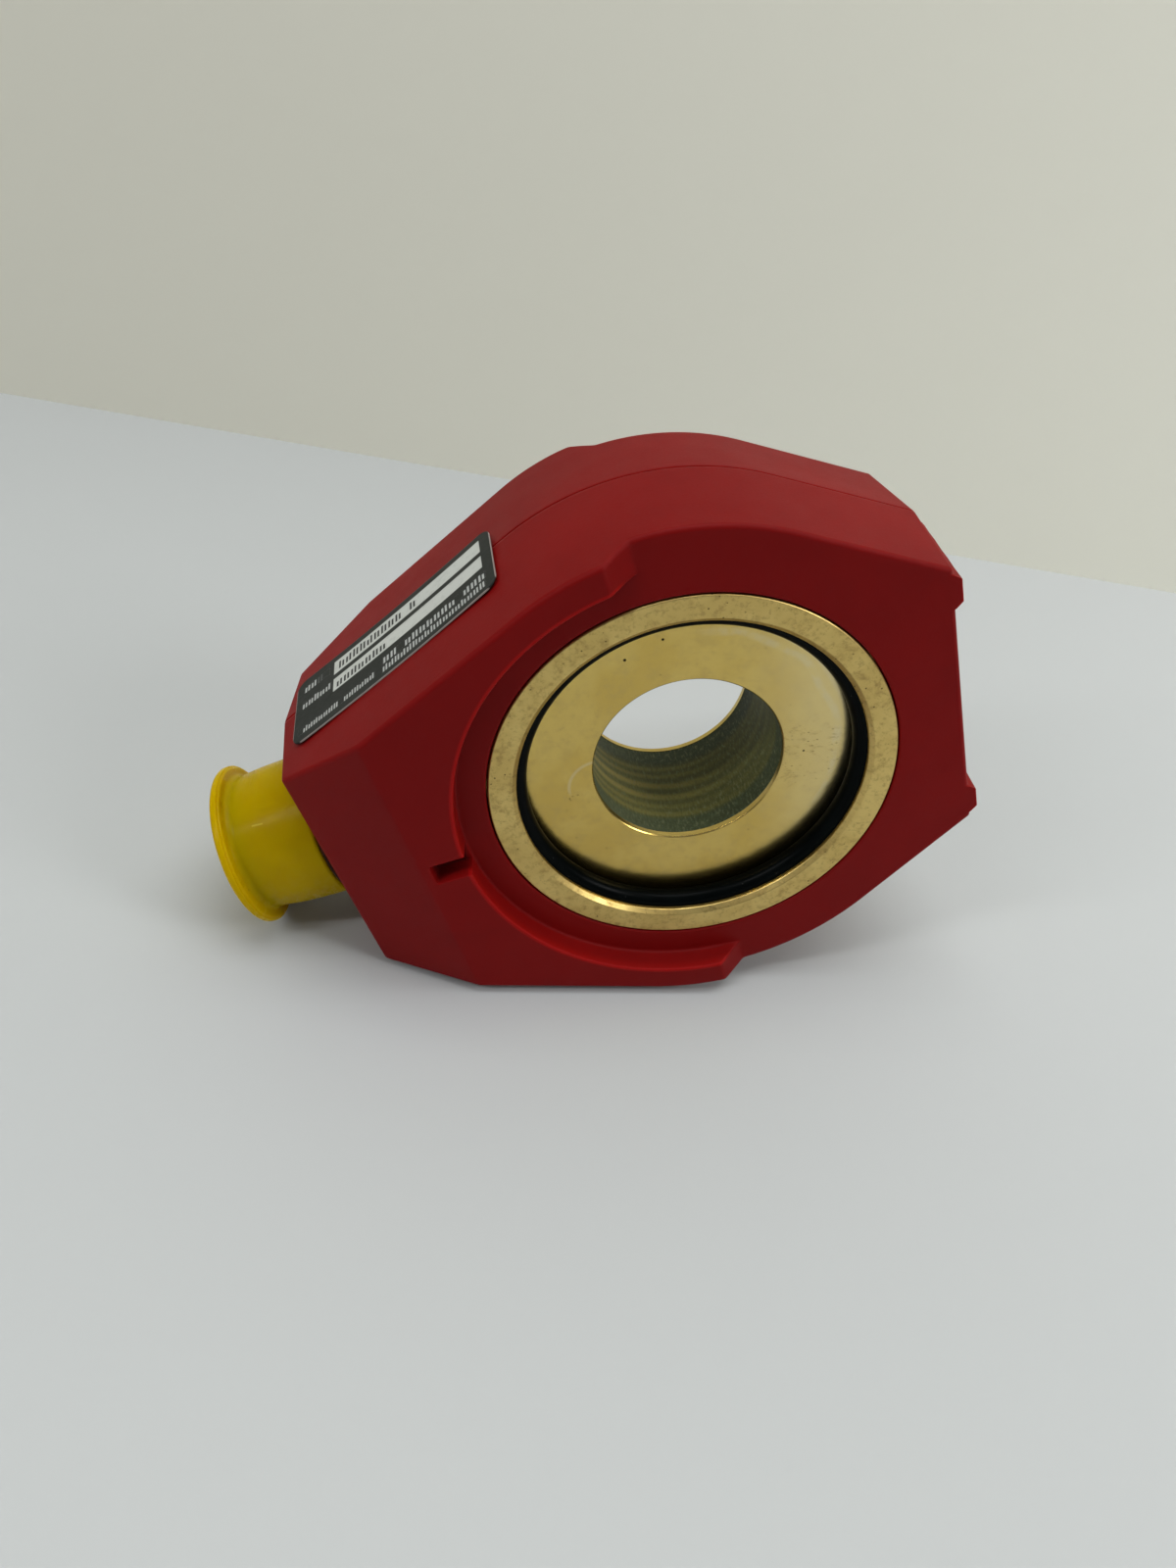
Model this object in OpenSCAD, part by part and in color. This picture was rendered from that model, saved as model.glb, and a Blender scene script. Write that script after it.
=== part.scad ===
// Encircling coil probe for testing tube, rod and wire that runs through its bore.
// Every piece is drawn lying flat: the bore along z with the front face up, the outline
// in x and y, and the connector towards -x. placed() then stands the probe on its flank.

/* [Test bore and coil cartridge] */
// Diameter of the test bore
bore_d = 32; // [26:0.5:36]
// Wall of the glass-fibre coil tube
tube_wall = 2; // [1.6:0.1:2.6]
// Length of the coil cartridge over its two end plates
cartridge_l = 26.8; // [24:0.2:32]
// Thickness of each brass end plate
plate_t = 3; // [2:0.1:4]
// Thickness of the plate's lip that covers the end of the coil tube
plate_lip = 1.2; // [0.6:0.1:1.6]
// Distance from one winding to the next
winding_pitch = 2.6; // [2:0.1:3]
// Width of one winding
winding_w = 1.5; // [1:0.1:1.8]
// Depth of the groove that a winding lies in
winding_depth = 1.1; // [0.6:0.1:1.4]
// Wall of the screening sleeve around the potting
shield_wall = 1.6; // [1:0.1:2.4]

/* [Guide rings] */
// Diameter of the seat that holds a guide bush
seat_d = 57.4; // [55:0.2:59]
// Wall of the brass ring around that seat
ring_wall = 4.6; // [3.4:0.1:5.6]
// Depth of that seat, from the ring's face to the end plate
seat_depth = 5.4; // [4:0.1:7]
// Chamfer at the mouth of the seat
ring_chamfer = 0.8; // [0.3:0.1:1.2]
// How far the ring overlaps the edge of the end plate
plate_grip = 3.8; // [2.8:0.1:4.4]
// How far the ring's inner flange stands out past its neck
ring_flange = 3.2; // [2:0.1:3.6]
// How far the ring reaches in past the end plate
ring_tail = 1; // [0.4:0.1:2]
// Thickness of the sealing ring
o_ring_t = 3.8; // [2.8:0.1:4.2]
// How far the sealing ring stands out of its groove in the guide ring
o_ring_out = 1.8; // [1:0.1:2.2]

/* [Housing outline at the parting line] */
// Radius of the rounded back around the bore
seam_r = 45; // [44:0.5:50]
// Distance from the bore axis to the flat heel opposite the connector
heel_x = 45; // [43:0.5:50]
// Distance from the bore axis to the connector face
conn_x = 62.6; // [61:0.2:68]
// Slope of the two long flanks towards the connector
flank_angle = 23.5; // [20:0.5:26]
// Direction in which each short flat beside the heel faces
heel_angle = 58; // [54:1:62]
// Mould draft of all side faces
draft = 3.65; // [1:0.05:5]
// Rounding of the moulded edges
edge_r = 0.8; // [0.5:0.1:1.6]
// Bevel along the parting line
seam_bevel = 0.15; // [0.05:0.05:0.4]

/* [Housing face and raised rim] */
// Thickness of the front wall around the guide ring
face_wall = 4.6; // [3:0.1:5.4]
// Height of the raised rim over the face
rim_h = 4.3; // [2.5:0.1:6]
// Radius of the raised rim's inner wall
rim_r = 38.7; // [37.5:0.1:40]
// Distance from the bore axis to the end of the rim's top
rim_end_x = 4.4; // [1:0.1:8]
// Distance from the bore axis to the crease where the rim's top starts to slope
crease_x = 46.1; // [45.4:0.1:50]
// Drop of the sloping face from the crease to the connector face
slope_drop = 7.4; // [3:0.1:8.5]
// Width of the locating slot in the rim
slot_w = 3.8; // [2:0.1:6]
// Length of the locating slot, outwards from the rim's inner wall
slot_l = 5.8; // [3:0.1:6.4]
// Distance of each locating rib from the middle of the heel
rib_y = 20.4; // [17:0.1:20.8]
// Width of a locating rib at its crest
rib_w = 3.8; // [2:0.1:4.2]
// Height of a locating rib
rib_h = 1.2; // [0.6:0.1:2]

/* [Housing inside] */
// Wall behind the connector face
conn_wall = 6; // [4.5:0.1:7]
// Wall over the pocket for the circuit board
pocket_wall = 4.2; // [3:0.1:5]
// Width of that pocket
pocket_w = 29; // [27:0.5:31]
// Distance from the ring cavity to each screw axis
screw_inset = 6.4; // [5.2:0.1:7]
// Diameter of the housing screws
screw_d = 3; // [2.5:0.1:3.6]
// Depth of the screw head's seat below the parting line
screw_seat = 12; // [9:0.1:13]
// Length of each threaded insert
insert_l = 7; // [5:0.1:9]

/* [Connector and dust cap] */
// Outside diameter of the connector's threaded barrel
barrel_d = 23; // [21:0.1:24]
// Length of the barrel
barrel_l = 13.7; // [11:0.1:16]
// Wall of the barrel
barrel_wall = 1.7; // [1.2:0.1:2.2]
// Diameter of the connector's neck in the housing wall
neck_d = 19; // [17:0.1:19.4]
// Thickness of the gasket under the connector's flange
gasket_t = 1.6; // [1:0.1:2.2]
// Thickness of the connector's flange
conn_flange_t = 1; // [0.8:0.1:2]
// Thickness of the nut inside the housing
nut_t = 2.4; // [1.8:0.1:3]
// Diameter of a contact pin
pin_d = 1; // [0.8:0.1:1.4]
// Length of the pins in front of the insert
pin_l = 5.4; // [4:0.1:6]
// Running clearance between the barrel and the dust cap
cap_clear = 0.3; // [0.2:0.05:0.5]
// Wall of the dust cap
cap_wall = 1.1; // [0.8:0.1:1.6]
// Thickness of the dust cap's closed end
cap_end_t = 1.3; // [1:0.1:2]
// Thickness of the dust cap's pull rim
cap_rim_t = 1.8; // [1:0.1:2.5]
// How much narrower the cap is beside its pull rim than at its mouth
cap_taper = 0.3; // [0:0.05:0.5]
// How far the pull rim stands out past the cap's wall
cap_rim_h = 1.25; // [0.6:0.05:2]

/* [Circuit board and label] */
// Room between the circuit board and the ring cavity, and between the board and the contacts
board_gap = 2.4; // [1.6:0.1:3]
// Thickness of the circuit board
board_t = 1.6; // [1:0.1:2]
// Height of the board's rear side over the parting line
board_z = 3.4; // [2.6:0.1:4.4]
// Distance from the board's ends to the middle of its solder pads
pad_inset = 1.8; // [1.2:0.1:2.4]
// Length of each capacitor on the board
capacitor_l = 2.8; // [2:0.1:3.4]
// Width of each capacitor
capacitor_w = 2.2; // [1.6:0.1:3]
// Height of each capacitor
capacitor_t = 1.4; // [0.8:0.1:2]
// Distance of the capacitors from the middle of the board
capacitor_y = 8; // [6:0.5:10]
// Diameter of the matching transformer
transformer_d = 7.4; // [5:0.1:8]
// Height of the matching transformer
transformer_h = 4; // [3:0.1:5]
// Thickness of the lead wires
lead_d = 0.8; // [0.5:0.1:1]
// Length of the type label
label_l = 43.2; // [30:0.2:46]
// Width of the type label
label_w = 17; // [12:0.2:18]
// Thickness of the type label
label_t = 0.3; // [0.15:0.05:0.5]
// Gap from the rounded back to the label
label_gap = 1.8; // [1:0.1:3]
// Shift of the label from the parting line towards the front
label_shift = 2.85; // [0:0.05:3]
// How far the label is turned out of line with the parting line
label_turn = 0.8; // [0:0.1:2]

/* [Hidden] */

$fn = 96;
arc_fn = 144;
edge_fn = 16;
eps = 0.01;

// Clearances: between parts that touch, and the visible gap round the brass ring
fit = 0.05;
ring_gap = 0.25;

// Cartridge and rings, as distances from the bore axis and from the parting line
bore_r = bore_d / 2;
tube_r = bore_r + tube_wall;
plate_z = cartridge_l / 2;
plate_back = plate_z - plate_t;
plate_r = seat_d / 2 + plate_grip;
face_z = plate_z + seat_depth;
wall_z = face_z - face_wall;
ring_back = plate_back - ring_tail;
ring_r = seat_d / 2 + ring_wall;
flange_r = ring_r + ring_flange;
o_ring_r = seat_d / 2 - o_ring_out + o_ring_t / 2;
groove_r = o_ring_r + o_ring_t / 2 + fit;
groove_z = plate_z + o_ring_t + 2 * fit;
cavity_r = flange_r + 0.5;
groove_floor = tube_r - winding_depth;
lead_slot = [8 * lead_d, 1.8 * lead_d];

// Housing
slope = tan(draft);
rim_z = face_z + rim_h;
end_z = rim_z - slope_drop;
pocket_x = conn_x - conn_wall;
pocket_z = end_z - pocket_wall;
ledge_z = board_z + board_t;
ledge_w = pocket_w - 5;
screw_ring_r = cavity_r + screw_inset;
screw_angles = [30.5, 146.5, -146.5, -30.5];
head_r = 0.92 * screw_d;
insert_r = screw_d / 2 + 0.8;

// Connector, as distances from the bore axis
spot_depth = 0.9;
gasket_x = conn_x - spot_depth;
conn_flange_x = gasket_x + gasket_t;
barrel_x = conn_flange_x + conn_flange_t;
barrel_end = barrel_x + barrel_l;
neck_x = pocket_x - nut_t - 0.5;
barrel_r = barrel_d / 2;
neck_r = neck_d / 2;
socket_r = barrel_r - barrel_wall;
socket_floor = barrel_x + 1.4;
insert_face = socket_floor + 1.5;
gasket_r = barrel_r + 1.4;
conn_flange_r = barrel_r + cap_clear / 2;
nut_flats = 2 * neck_r + 3;
pin_rings = [[8, 6.2], [4, 2.6]];
cup_x = neck_x - 0.9;

// Dust cap
cap_in_r = barrel_r + cap_clear;
cap_out_r = cap_in_r + cap_wall;
cap_open = conn_flange_x + 0.2;
cap_shut = barrel_end + 0.6 + cap_end_t;
cap_neck_r = cap_out_r - 0.8;

// Circuit board
board_x = cavity_r + board_gap;
board_l = cup_x - board_gap - board_x;
board_w = pocket_w - 1;
bend_d = 1.3 * lead_d;
pad_z = board_z - bend_d / 2 - fit;
lead_y = [-2.25, -0.75, 0.75, 2.25] * lead_d;

// Radius of the rounded back, heel distance and connector distance at height z
function back_r(z) = seam_r - slope * z;
function heel_at(z) = heel_x - slope * z;
function conn_at(z) = conn_x - slope * z;

// Half width of the outline, moved in by m, on a flank at x and at the heel and connector
function flank_y(x, z, m) = (back_r(z) - m + x * sin(flank_angle)) / cos(flank_angle);
function heel_corner(z, m) =
    let (x = heel_at(z) - m) [x, (back_r(z) - m - x * cos(heel_angle)) / sin(heel_angle)];
function conn_corner(z, m) = let (x = m - conn_at(z)) [x, flank_y(x, z, m)];
function crease_corner(z, m) = [-crease_x, flank_y(-crease_x, z, m)];

// Stands the flat-lying piece on its lower flank, with its front face towards -y
module placed() {
    rotate([0, -flank_angle, 0]) rotate([90, 0, 0]) children();
}

// Turns a piece drawn along z so that it points out of the connector face
module along_connector() {
    rotate([0, -90, 0]) children();
}

// Puts one copy above the middle line and one below it
module both_sides(p) {
    for (side = [-1, 1]) translate([p.x, side * p.y, 0]) children();
}

// A tube from z0 to z1
module tube(outer, inner, z0, z1) {
    translate([0, 0, z0]) difference() {
        cylinder(h = z1 - z0, r = outer);
        translate([0, 0, -1]) cylinder(h = z1 - z0 + 2, r = inner);
    }
}

// Ball whose poles lie exactly on its axis, for rounding the corners of the housing
module ball() {
    rotate_extrude($fn = 24) intersection() {
        circle(edge_r, $fn = edge_fn);
        translate([0, -edge_r]) square([edge_r, 2 * edge_r]);
    }
}

// Rounded edge of the back, whose top lies at z
module round_edge(z, grow) {
    translate([0, 0, z - edge_r]) rotate_extrude($fn = arc_fn)
        translate([back_r(z - edge_r) - edge_r + grow, 0]) circle(edge_r, $fn = edge_fn);
}

// Thin slice of the outline at height z, moved in by m
module outline_slice(z, m) {
    translate([0, 0, z]) {
        cylinder(h = eps, r = back_r(z) - m, $fn = arc_fn);
        both_sides(heel_corner(z, edge_r)) cylinder(h = eps, r = edge_r - m, $fn = 24);
        both_sides(conn_corner(z, edge_r)) cylinder(h = eps, r = edge_r - m, $fn = 24);
    }
}

// Half housing at the height of the raised rim, with the sloping face at the connector
module tall_body() {
    low = rim_z - edge_r;
    end = end_z - edge_r;
    hull() {
        outline_slice(0, seam_bevel);
        outline_slice(seam_bevel, 0);
        round_edge(rim_z, 0);
        translate([0, 0, low]) both_sides(heel_corner(low, edge_r)) ball();
        translate([0, 0, low]) both_sides(crease_corner(low, edge_r)) ball();
        translate([0, 0, end]) both_sides(conn_corner(end, edge_r)) ball();
    }
}

// Rounded block that leaves the low face on the heel side standing
module low_body() {
    low = face_z - edge_r;
    grow = 0.05;
    hull() {
        translate([0, 0, low - 3]) {
            cylinder(h = eps, r = back_r(low - 3) + grow, $fn = arc_fn);
            both_sides(heel_corner(low - 3, edge_r - grow)) cylinder(h = eps, r = edge_r, $fn = 24);
        }
        round_edge(face_z, grow);
        translate([0, 0, low]) both_sides(heel_corner(low, edge_r - grow)) ball();
    }
}

// Region on the heel side of the rim's slanting ends, above the rounded edge of the low face
module heel_side() {
    base = face_z - edge_r - 1;
    reach = seam_r + heel_x;
    rotate([90, 0, 0]) linear_extrude(2 * reach, center = true) polygon([
        [rim_z - base - rim_end_x, base],
        [reach, base],
        [reach, rim_z + 1],
        [-rim_end_x - 1, rim_z + 1]
    ]);
}

// Outer form of one half housing
module shell_form() {
    difference() {
        tall_body();
        difference() {
            heel_side();
            low_body();
        }
        translate([0, 0, face_z]) cylinder(h = rim_h + 1, r = rim_r);
        translate([0, 0, rim_z - 0.4]) cylinder(h = 0.5, r1 = rim_r, r2 = rim_r + 0.5);
        translate([-rim_r - slot_l, -slot_w / 2, face_z + 0.3])
            cube([slot_l + 5, slot_w, rim_h + 1]);
    }
    heel_ribs();
}

// Locating ribs on the heel, leaning with its draft, with a root of 1 mm in the wall
module heel_ribs() {
    root = 1;
    foot = rib_w / 2 + 1;
    length = (face_z - 0.2) / cos(draft) - root * sin(draft);
    both_sides([0, rib_y]) rotate([0, -draft, 0])
        translate([heel_x * cos(draft), 0, (root - heel_x) * sin(draft)]) linear_extrude(length)
            polygon([[-root, -foot], [0, -foot], [rib_h, -rib_w / 2],
                     [rib_h, rib_w / 2], [0, foot], [-root, foot]]);
}

// Round cavity for the rings, board pocket and connector hole of one half housing
module shell_cavity() {
    translate([0, 0, -1]) cylinder(h = wall_z + 1, r = cavity_r);
    translate([0, 0, -1]) cylinder(h = rim_z + 2, r = ring_r + ring_gap);
    translate([-pocket_x, -pocket_w / 2, -1]) cube([pocket_x - bore_r, pocket_w, ledge_z + 1]);
    translate([-pocket_x, -ledge_w / 2, -1]) cube([pocket_x - bore_r, ledge_w, pocket_z + 1]);
    along_connector() translate([0, 0, pocket_x - 1]) cylinder(h = conn_wall + 2, r = neck_r + fit);
    along_connector() translate([0, 0, gasket_x]) cylinder(h = spot_depth + 1, r = gasket_r + 0.4);
}

// Puts a child at each of the four housing screws
module at_screws() {
    for (a = screw_angles) rotate(a) translate([screw_ring_r, 0, 0]) children();
}

// Ring with its seat, the groove for the sealing ring, the inner flange and the recess that
// grips the end plate
module guide_ring() {
    seat_r = seat_d / 2;
    rotate_extrude() polygon([
        [groove_r, plate_z], [groove_r, groove_z], [seat_r, groove_z],
        [seat_r, face_z - ring_chamfer], [seat_r + ring_chamfer, face_z],
        [ring_r - 0.2, face_z], [ring_r, face_z - 0.2], [ring_r, wall_z],
        [flange_r, wall_z], [flange_r, ring_back], [plate_r + fit, ring_back],
        [plate_r + fit, plate_z]
    ]);
}

// End plate with the lip that covers the tube and forms the mouth of the bore
module end_plate() {
    rotate_extrude() polygon([
        [bore_r, plate_z - plate_lip], [bore_r, plate_z - 0.2], [bore_r + 0.2, plate_z],
        [plate_r, plate_z], [plate_r, plate_back], [tube_r + fit, plate_back],
        [tube_r + fit, plate_z - plate_lip]
    ]);
}

module o_ring() {
    wire_r = o_ring_t / 2;
    rotate_extrude() translate([o_ring_r, plate_z + wire_r + fit]) circle(wire_r, $fn = 32);
}

// Winding number i, counted in pitches from the middle of the tube
module winding(i) {
    placed() translate([0, 0, i * winding_pitch])
        tube(tube_r - 0.1, groove_floor + fit, -winding_w / 2, winding_w / 2);
}

// Straight lead wires through the points of a path, with rounded bends
module wire(points) {
    for (i = [1 : len(points) - 1]) {
        step = points[i] - points[i - 1];
        reach = norm(step);
        translate(points[i - 1]) rotate([0, acos(step.z / reach), atan2(step.y, step.x)])
            cylinder(h = reach, d = lead_d, $fn = 24);
        if (i > 1) translate(points[i - 1]) sphere(d = bend_d, $fn = 24);
    }
}

module front_shell() {
    color("firebrick") placed() difference() {
        shell_form();
        shell_cavity();
        at_screws() translate([0, 0, -1]) cylinder(h = insert_l + 2, r = insert_r);
    }
}

module rear_shell() {
    post_h = pocket_z + board_z - fit;
    color("firebrick") placed() {
        mirror([0, 0, 1]) difference() {
            shell_form();
            shell_cavity();
            at_screws() translate([0, 0, -1]) cylinder(h = rim_z + 2, r = screw_d / 2 + 0.2);
            at_screws() translate([0, 0, screw_seat]) cylinder(h = rim_z, r = head_r + 0.3);
        }
        for (side = [-1, 1]) translate([-board_x - board_l / 2, side * ledge_w * 0.42, -pocket_z - eps])
            cylinder(h = post_h, r = 1.6);
    }
}

module front_ring() {
    color("darkkhaki") placed() guide_ring();
}

module rear_ring() {
    color("darkkhaki") placed() mirror([0, 0, 1]) guide_ring();
}

module front_plate() {
    color("goldenrod") placed() end_plate();
}

module rear_plate() {
    color("goldenrod") placed() mirror([0, 0, 1]) end_plate();
}

module front_o_ring() {
    color("black") placed() o_ring();
}

module rear_o_ring() {
    color("black") placed() mirror([0, 0, 1]) o_ring();
}

module spacer_sleeve() {
    color("silver") placed() difference() {
        tube(flange_r, plate_r + fit, -ring_back, ring_back);
        lead_passage();
    }
}

module coil_tube() {
    half = plate_z - plate_lip;
    color("darkseagreen") placed() difference() {
        tube(tube_r, bore_r, -half, half);
        for (i = [-2.5 : 2.5]) translate([0, 0, i * winding_pitch])
            tube(tube_r + 1, groove_floor, -winding_w / 2 - fit, winding_w / 2 + fit);
    }
}

module potting() {
    color("darkslategray") placed() difference() {
        tube(plate_r - shield_wall - fit, tube_r + fit, -plate_back, plate_back);
        lead_passage();
    }
}

module shield_sleeve() {
    color("silver") placed() difference() {
        tube(plate_r, plate_r - shield_wall, -plate_back, plate_back);
        lead_passage();
    }
}

// Way out for the coil leads, through the potting, the shield and the spacer
module lead_passage() {
    translate([-flange_r - 1, -lead_slot.x / 2, -lead_slot.y / 2])
        cube([flange_r + 1 - bore_r, lead_slot.x, lead_slot.y]);
}

module exciter_winding_front() {
    color("peru") winding(2.5);
}

module exciter_winding_rear() {
    color("peru") winding(-2.5);
}

module receiver_winding_front() {
    color("sienna") winding(1.5);
}

module receiver_winding_rear() {
    color("sienna") winding(-1.5);
}

module absolute_winding_front() {
    color("chocolate") winding(0.5);
}

module absolute_winding_rear() {
    color("chocolate") winding(-0.5);
}

module coil_leads() {
    color("orange") placed() for (y = lead_y) wire([
        [-tube_r - lead_d / 4, y, 0],
        [-cavity_r, y, 0],
        [-board_x - pad_inset, 2.2 * y, pad_z],
        [-board_x - 2 * pad_inset, 2.2 * y, pad_z]
    ]);
}

module circuit_board() {
    color("darkgreen") placed() translate([-board_x - board_l, -board_w / 2, board_z])
        cube([board_l, board_w, board_t]);
}

// Four capacitors and a matching transformer on the board's front side
module board_parts() {
    size = [capacitor_l, capacitor_w, capacitor_t];
    color("dimgray") placed() translate([-board_x - board_l / 2, 0, ledge_z]) {
        for (x = [-1, 1], y = [-1, 1])
            translate([x * board_l / 4 - size.x / 2, y * capacitor_y - size.y / 2, 0]) cube(size);
        cylinder(h = transformer_h, d = transformer_d);
    }
}

// The wired contacts are those of the outer circle behind the board's plane
module connector_leads() {
    pad_x = pad_inset - board_x - board_l;
    wired = [for (p = pin_places()) if (norm(p) > 4 && p.x < board_z) p];
    color("orange") placed() for (p = wired) wire([
        [fit - cup_x, p.y, p.x],
        [1.25 * lead_d - cup_x, p.y, p.x],
        [pad_x, p.y * (p.x > 0 ? 1.6 : 1.05), pad_z]
    ]);
}

module connector_shell() {
    color("lightgray") placed() along_connector() rotate_extrude() polygon([
        [neck_r - 1.4, neck_x], [neck_r, neck_x], [neck_r, conn_flange_x],
        [conn_flange_r, conn_flange_x], [conn_flange_r, barrel_x], [barrel_r, barrel_x],
        [barrel_r, barrel_end - 0.5], [barrel_r - 0.5, barrel_end], [socket_r + 0.3, barrel_end],
        [socket_r, barrel_end - 0.3], [socket_r, socket_floor], [neck_r - 1.4, socket_floor]
    ]);
}

// Insulator with a seat flange in the socket and a bore for each contact
module connector_insert() {
    color("black") placed() along_connector() difference() {
        rotate_extrude() polygon([
            [0, neck_x], [neck_r - 1.4 - fit, neck_x], [neck_r - 1.4 - fit, socket_floor],
            [socket_r - fit, socket_floor], [socket_r - fit, insert_face], [0, insert_face]
        ]);
        for (p = pin_places()) translate([p.x, p.y, neck_x - 1])
            cylinder(h = insert_face - neck_x + 2, d = pin_d + 2 * fit, $fn = 24);
    }
}

// Places of the contacts, on two circles round the connector axis
function pin_places() = [
    for (ring = pin_rings, i = [0 : ring[0] - 1])
        let (a = 360 * (i + 0.5) / ring[0]) [ring[1] * cos(a), ring[1] * sin(a)]
];

// Contacts with a rounded tip in front and a solder cup behind
module connector_pins() {
    tip = insert_face + pin_l;
    color("gold") placed() along_connector() for (p = pin_places()) translate([p.x, p.y, 0]) {
        translate([0, 0, cup_x]) cylinder(h = tip - cup_x - pin_d / 2, d = pin_d, $fn = 24);
        translate([0, 0, tip - pin_d / 2]) sphere(d = pin_d, $fn = 24);
        translate([0, 0, cup_x]) cylinder(h = neck_x - cup_x - fit, d = pin_d + 0.6, $fn = 24);
    }
}

module connector_nut() {
    color("silver") placed() along_connector() translate([0, 0, pocket_x - nut_t]) difference() {
        rotate(30) cylinder(h = nut_t, r = nut_flats / sqrt(3), $fn = 6);
        translate([0, 0, -1]) cylinder(h = nut_t + 2, r = neck_r + fit);
    }
}

module connector_gasket() {
    color("saddlebrown") placed() along_connector()
        tube(gasket_r, neck_r + fit, gasket_x, conn_flange_x);
}

// Push-on cap: open towards the housing, with a necked shoulder and a rim to pull it by
module dust_cap() {
    rim_r = cap_out_r + cap_rim_h;
    rim_x = cap_shut - cap_rim_t;
    inner = cap_shut - cap_end_t;
    color("gold") placed() along_connector() rotate_extrude() polygon([
        [cap_in_r, cap_open], [cap_out_r - 0.2, cap_open], [cap_out_r, cap_open + 0.4],
        [cap_out_r - cap_taper, rim_x - 3], [cap_out_r - cap_taper - 0.15, rim_x - 2],
        [cap_neck_r + 0.1, rim_x - 1],
        [cap_neck_r, rim_x - 0.5], [cap_neck_r + 0.4, rim_x], [rim_r - 0.4, rim_x],
        [rim_r, rim_x + 0.4], [rim_r, cap_shut - 0.5], [rim_r - 0.5, cap_shut],
        [0, cap_shut], [0, inner], [cap_in_r - 0.4, inner], [cap_in_r, inner - 0.4]
    ]);
}

// Stiff thin label with rounded corners. It lies flat on the front half and stands over the
// rear half, which slopes away behind the parting line.
module type_label() {
    lift = 0.03;
    side = 0.6 * label_w + label_shift;
    corner = 2;
    color("darkslategray") placed() rotate(90 + flank_angle)
        translate([seam_r, label_gap + label_l / 2, 0]) intersection() {
            rotate([-90, 0, 0]) linear_extrude(1.2 * label_l, center = true) polygon([
                [lift - slope * side, -side], [lift + slope * side, side],
                [lift + label_t + slope * side, side], [lift + label_t - slope * side, -side]
            ]);
            translate([-5, 0, label_shift]) rotate([0, 90, 0]) linear_extrude(10) rotate(-label_turn) {
                square([label_w - 2 * corner, label_l], center = true);
                square([label_w, label_l - 2 * corner], center = true);
                for (x = [-1, 1], y = [-1, 1])
                    translate([x * (label_w / 2 - corner), y * (label_l / 2 - corner)])
                        circle(corner, $fn = 48);
            }
        }
}

// Socket-head screws, put in from the rear
module shell_screws() {
    head_h = screw_d;
    color("dimgray") placed() mirror([0, 0, 1]) at_screws() difference() {
        union() {
            translate([0, 0, screw_seat]) cylinder(h = head_h, r = head_r);
            translate([0, 0, -insert_l + 0.5])
                cylinder(h = screw_seat + insert_l - 0.5, r = screw_d / 2 - fit);
        }
        translate([0, 0, screw_seat + head_h * 0.4])
            cylinder(h = head_h, r = screw_d * 0.48, $fn = 6);
    }
}

module threaded_inserts() {
    color("goldenrod") placed() at_screws() tube(insert_r - fit, screw_d / 2, 0.2, insert_l + 0.2);
}

front_shell();
rear_shell();
front_ring();
rear_ring();
front_plate();
rear_plate();
front_o_ring();
rear_o_ring();
spacer_sleeve();
coil_tube();
potting();
shield_sleeve();
exciter_winding_front();
exciter_winding_rear();
receiver_winding_front();
receiver_winding_rear();
absolute_winding_front();
absolute_winding_rear();
coil_leads();
circuit_board();
board_parts();
connector_leads();
connector_shell();
connector_insert();
connector_pins();
connector_nut();
connector_gasket();
dust_cap();
type_label();
shell_screws();
threaded_inserts();
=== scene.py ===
# Looks of an encircling coil probe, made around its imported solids
import math

import bmesh
import bpy
import numpy as np
from mathutils import Matrix, Quaternion, Vector


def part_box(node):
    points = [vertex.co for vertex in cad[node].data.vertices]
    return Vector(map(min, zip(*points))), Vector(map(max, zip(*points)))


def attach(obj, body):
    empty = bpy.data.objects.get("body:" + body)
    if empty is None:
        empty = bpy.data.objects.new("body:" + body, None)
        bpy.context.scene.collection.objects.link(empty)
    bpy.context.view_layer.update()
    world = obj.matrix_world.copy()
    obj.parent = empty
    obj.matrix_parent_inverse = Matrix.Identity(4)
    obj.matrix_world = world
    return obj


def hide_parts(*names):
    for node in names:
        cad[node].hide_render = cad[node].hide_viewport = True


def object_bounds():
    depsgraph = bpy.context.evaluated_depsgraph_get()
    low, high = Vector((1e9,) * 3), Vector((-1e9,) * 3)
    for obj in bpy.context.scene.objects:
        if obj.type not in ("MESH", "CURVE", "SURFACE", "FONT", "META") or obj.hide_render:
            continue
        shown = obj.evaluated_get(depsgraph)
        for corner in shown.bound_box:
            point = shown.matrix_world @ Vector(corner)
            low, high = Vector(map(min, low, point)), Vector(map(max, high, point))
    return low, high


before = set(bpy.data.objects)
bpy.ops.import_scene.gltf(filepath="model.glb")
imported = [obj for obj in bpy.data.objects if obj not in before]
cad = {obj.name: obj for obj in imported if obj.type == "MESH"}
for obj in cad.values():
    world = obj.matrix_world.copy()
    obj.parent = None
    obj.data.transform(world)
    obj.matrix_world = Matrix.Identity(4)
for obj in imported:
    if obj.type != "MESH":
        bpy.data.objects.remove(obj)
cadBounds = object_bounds()
mm = 0.001
print("frame loaded")

# Shapes are written in plan coordinates, in mm: the bore along z with the front face up,
# the connector towards -x, and z = 0 where the two housing halves meet.
flankSlope = math.radians(23.5)  # the probe stands on its lower flank


def stand(x, y, z):
    # A quarter turn about x, then a turn about y by the flank's slope, then mm to metres
    c, s = math.cos(flankSlope), math.sin(flankSlope)
    return np.stack(np.broadcast_arrays(x * c - y * s, -z, x * s + y * c), -1) * mm


def reach(node):
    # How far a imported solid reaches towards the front, in mm
    return abs(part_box(node)[0][1]) / mm


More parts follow.
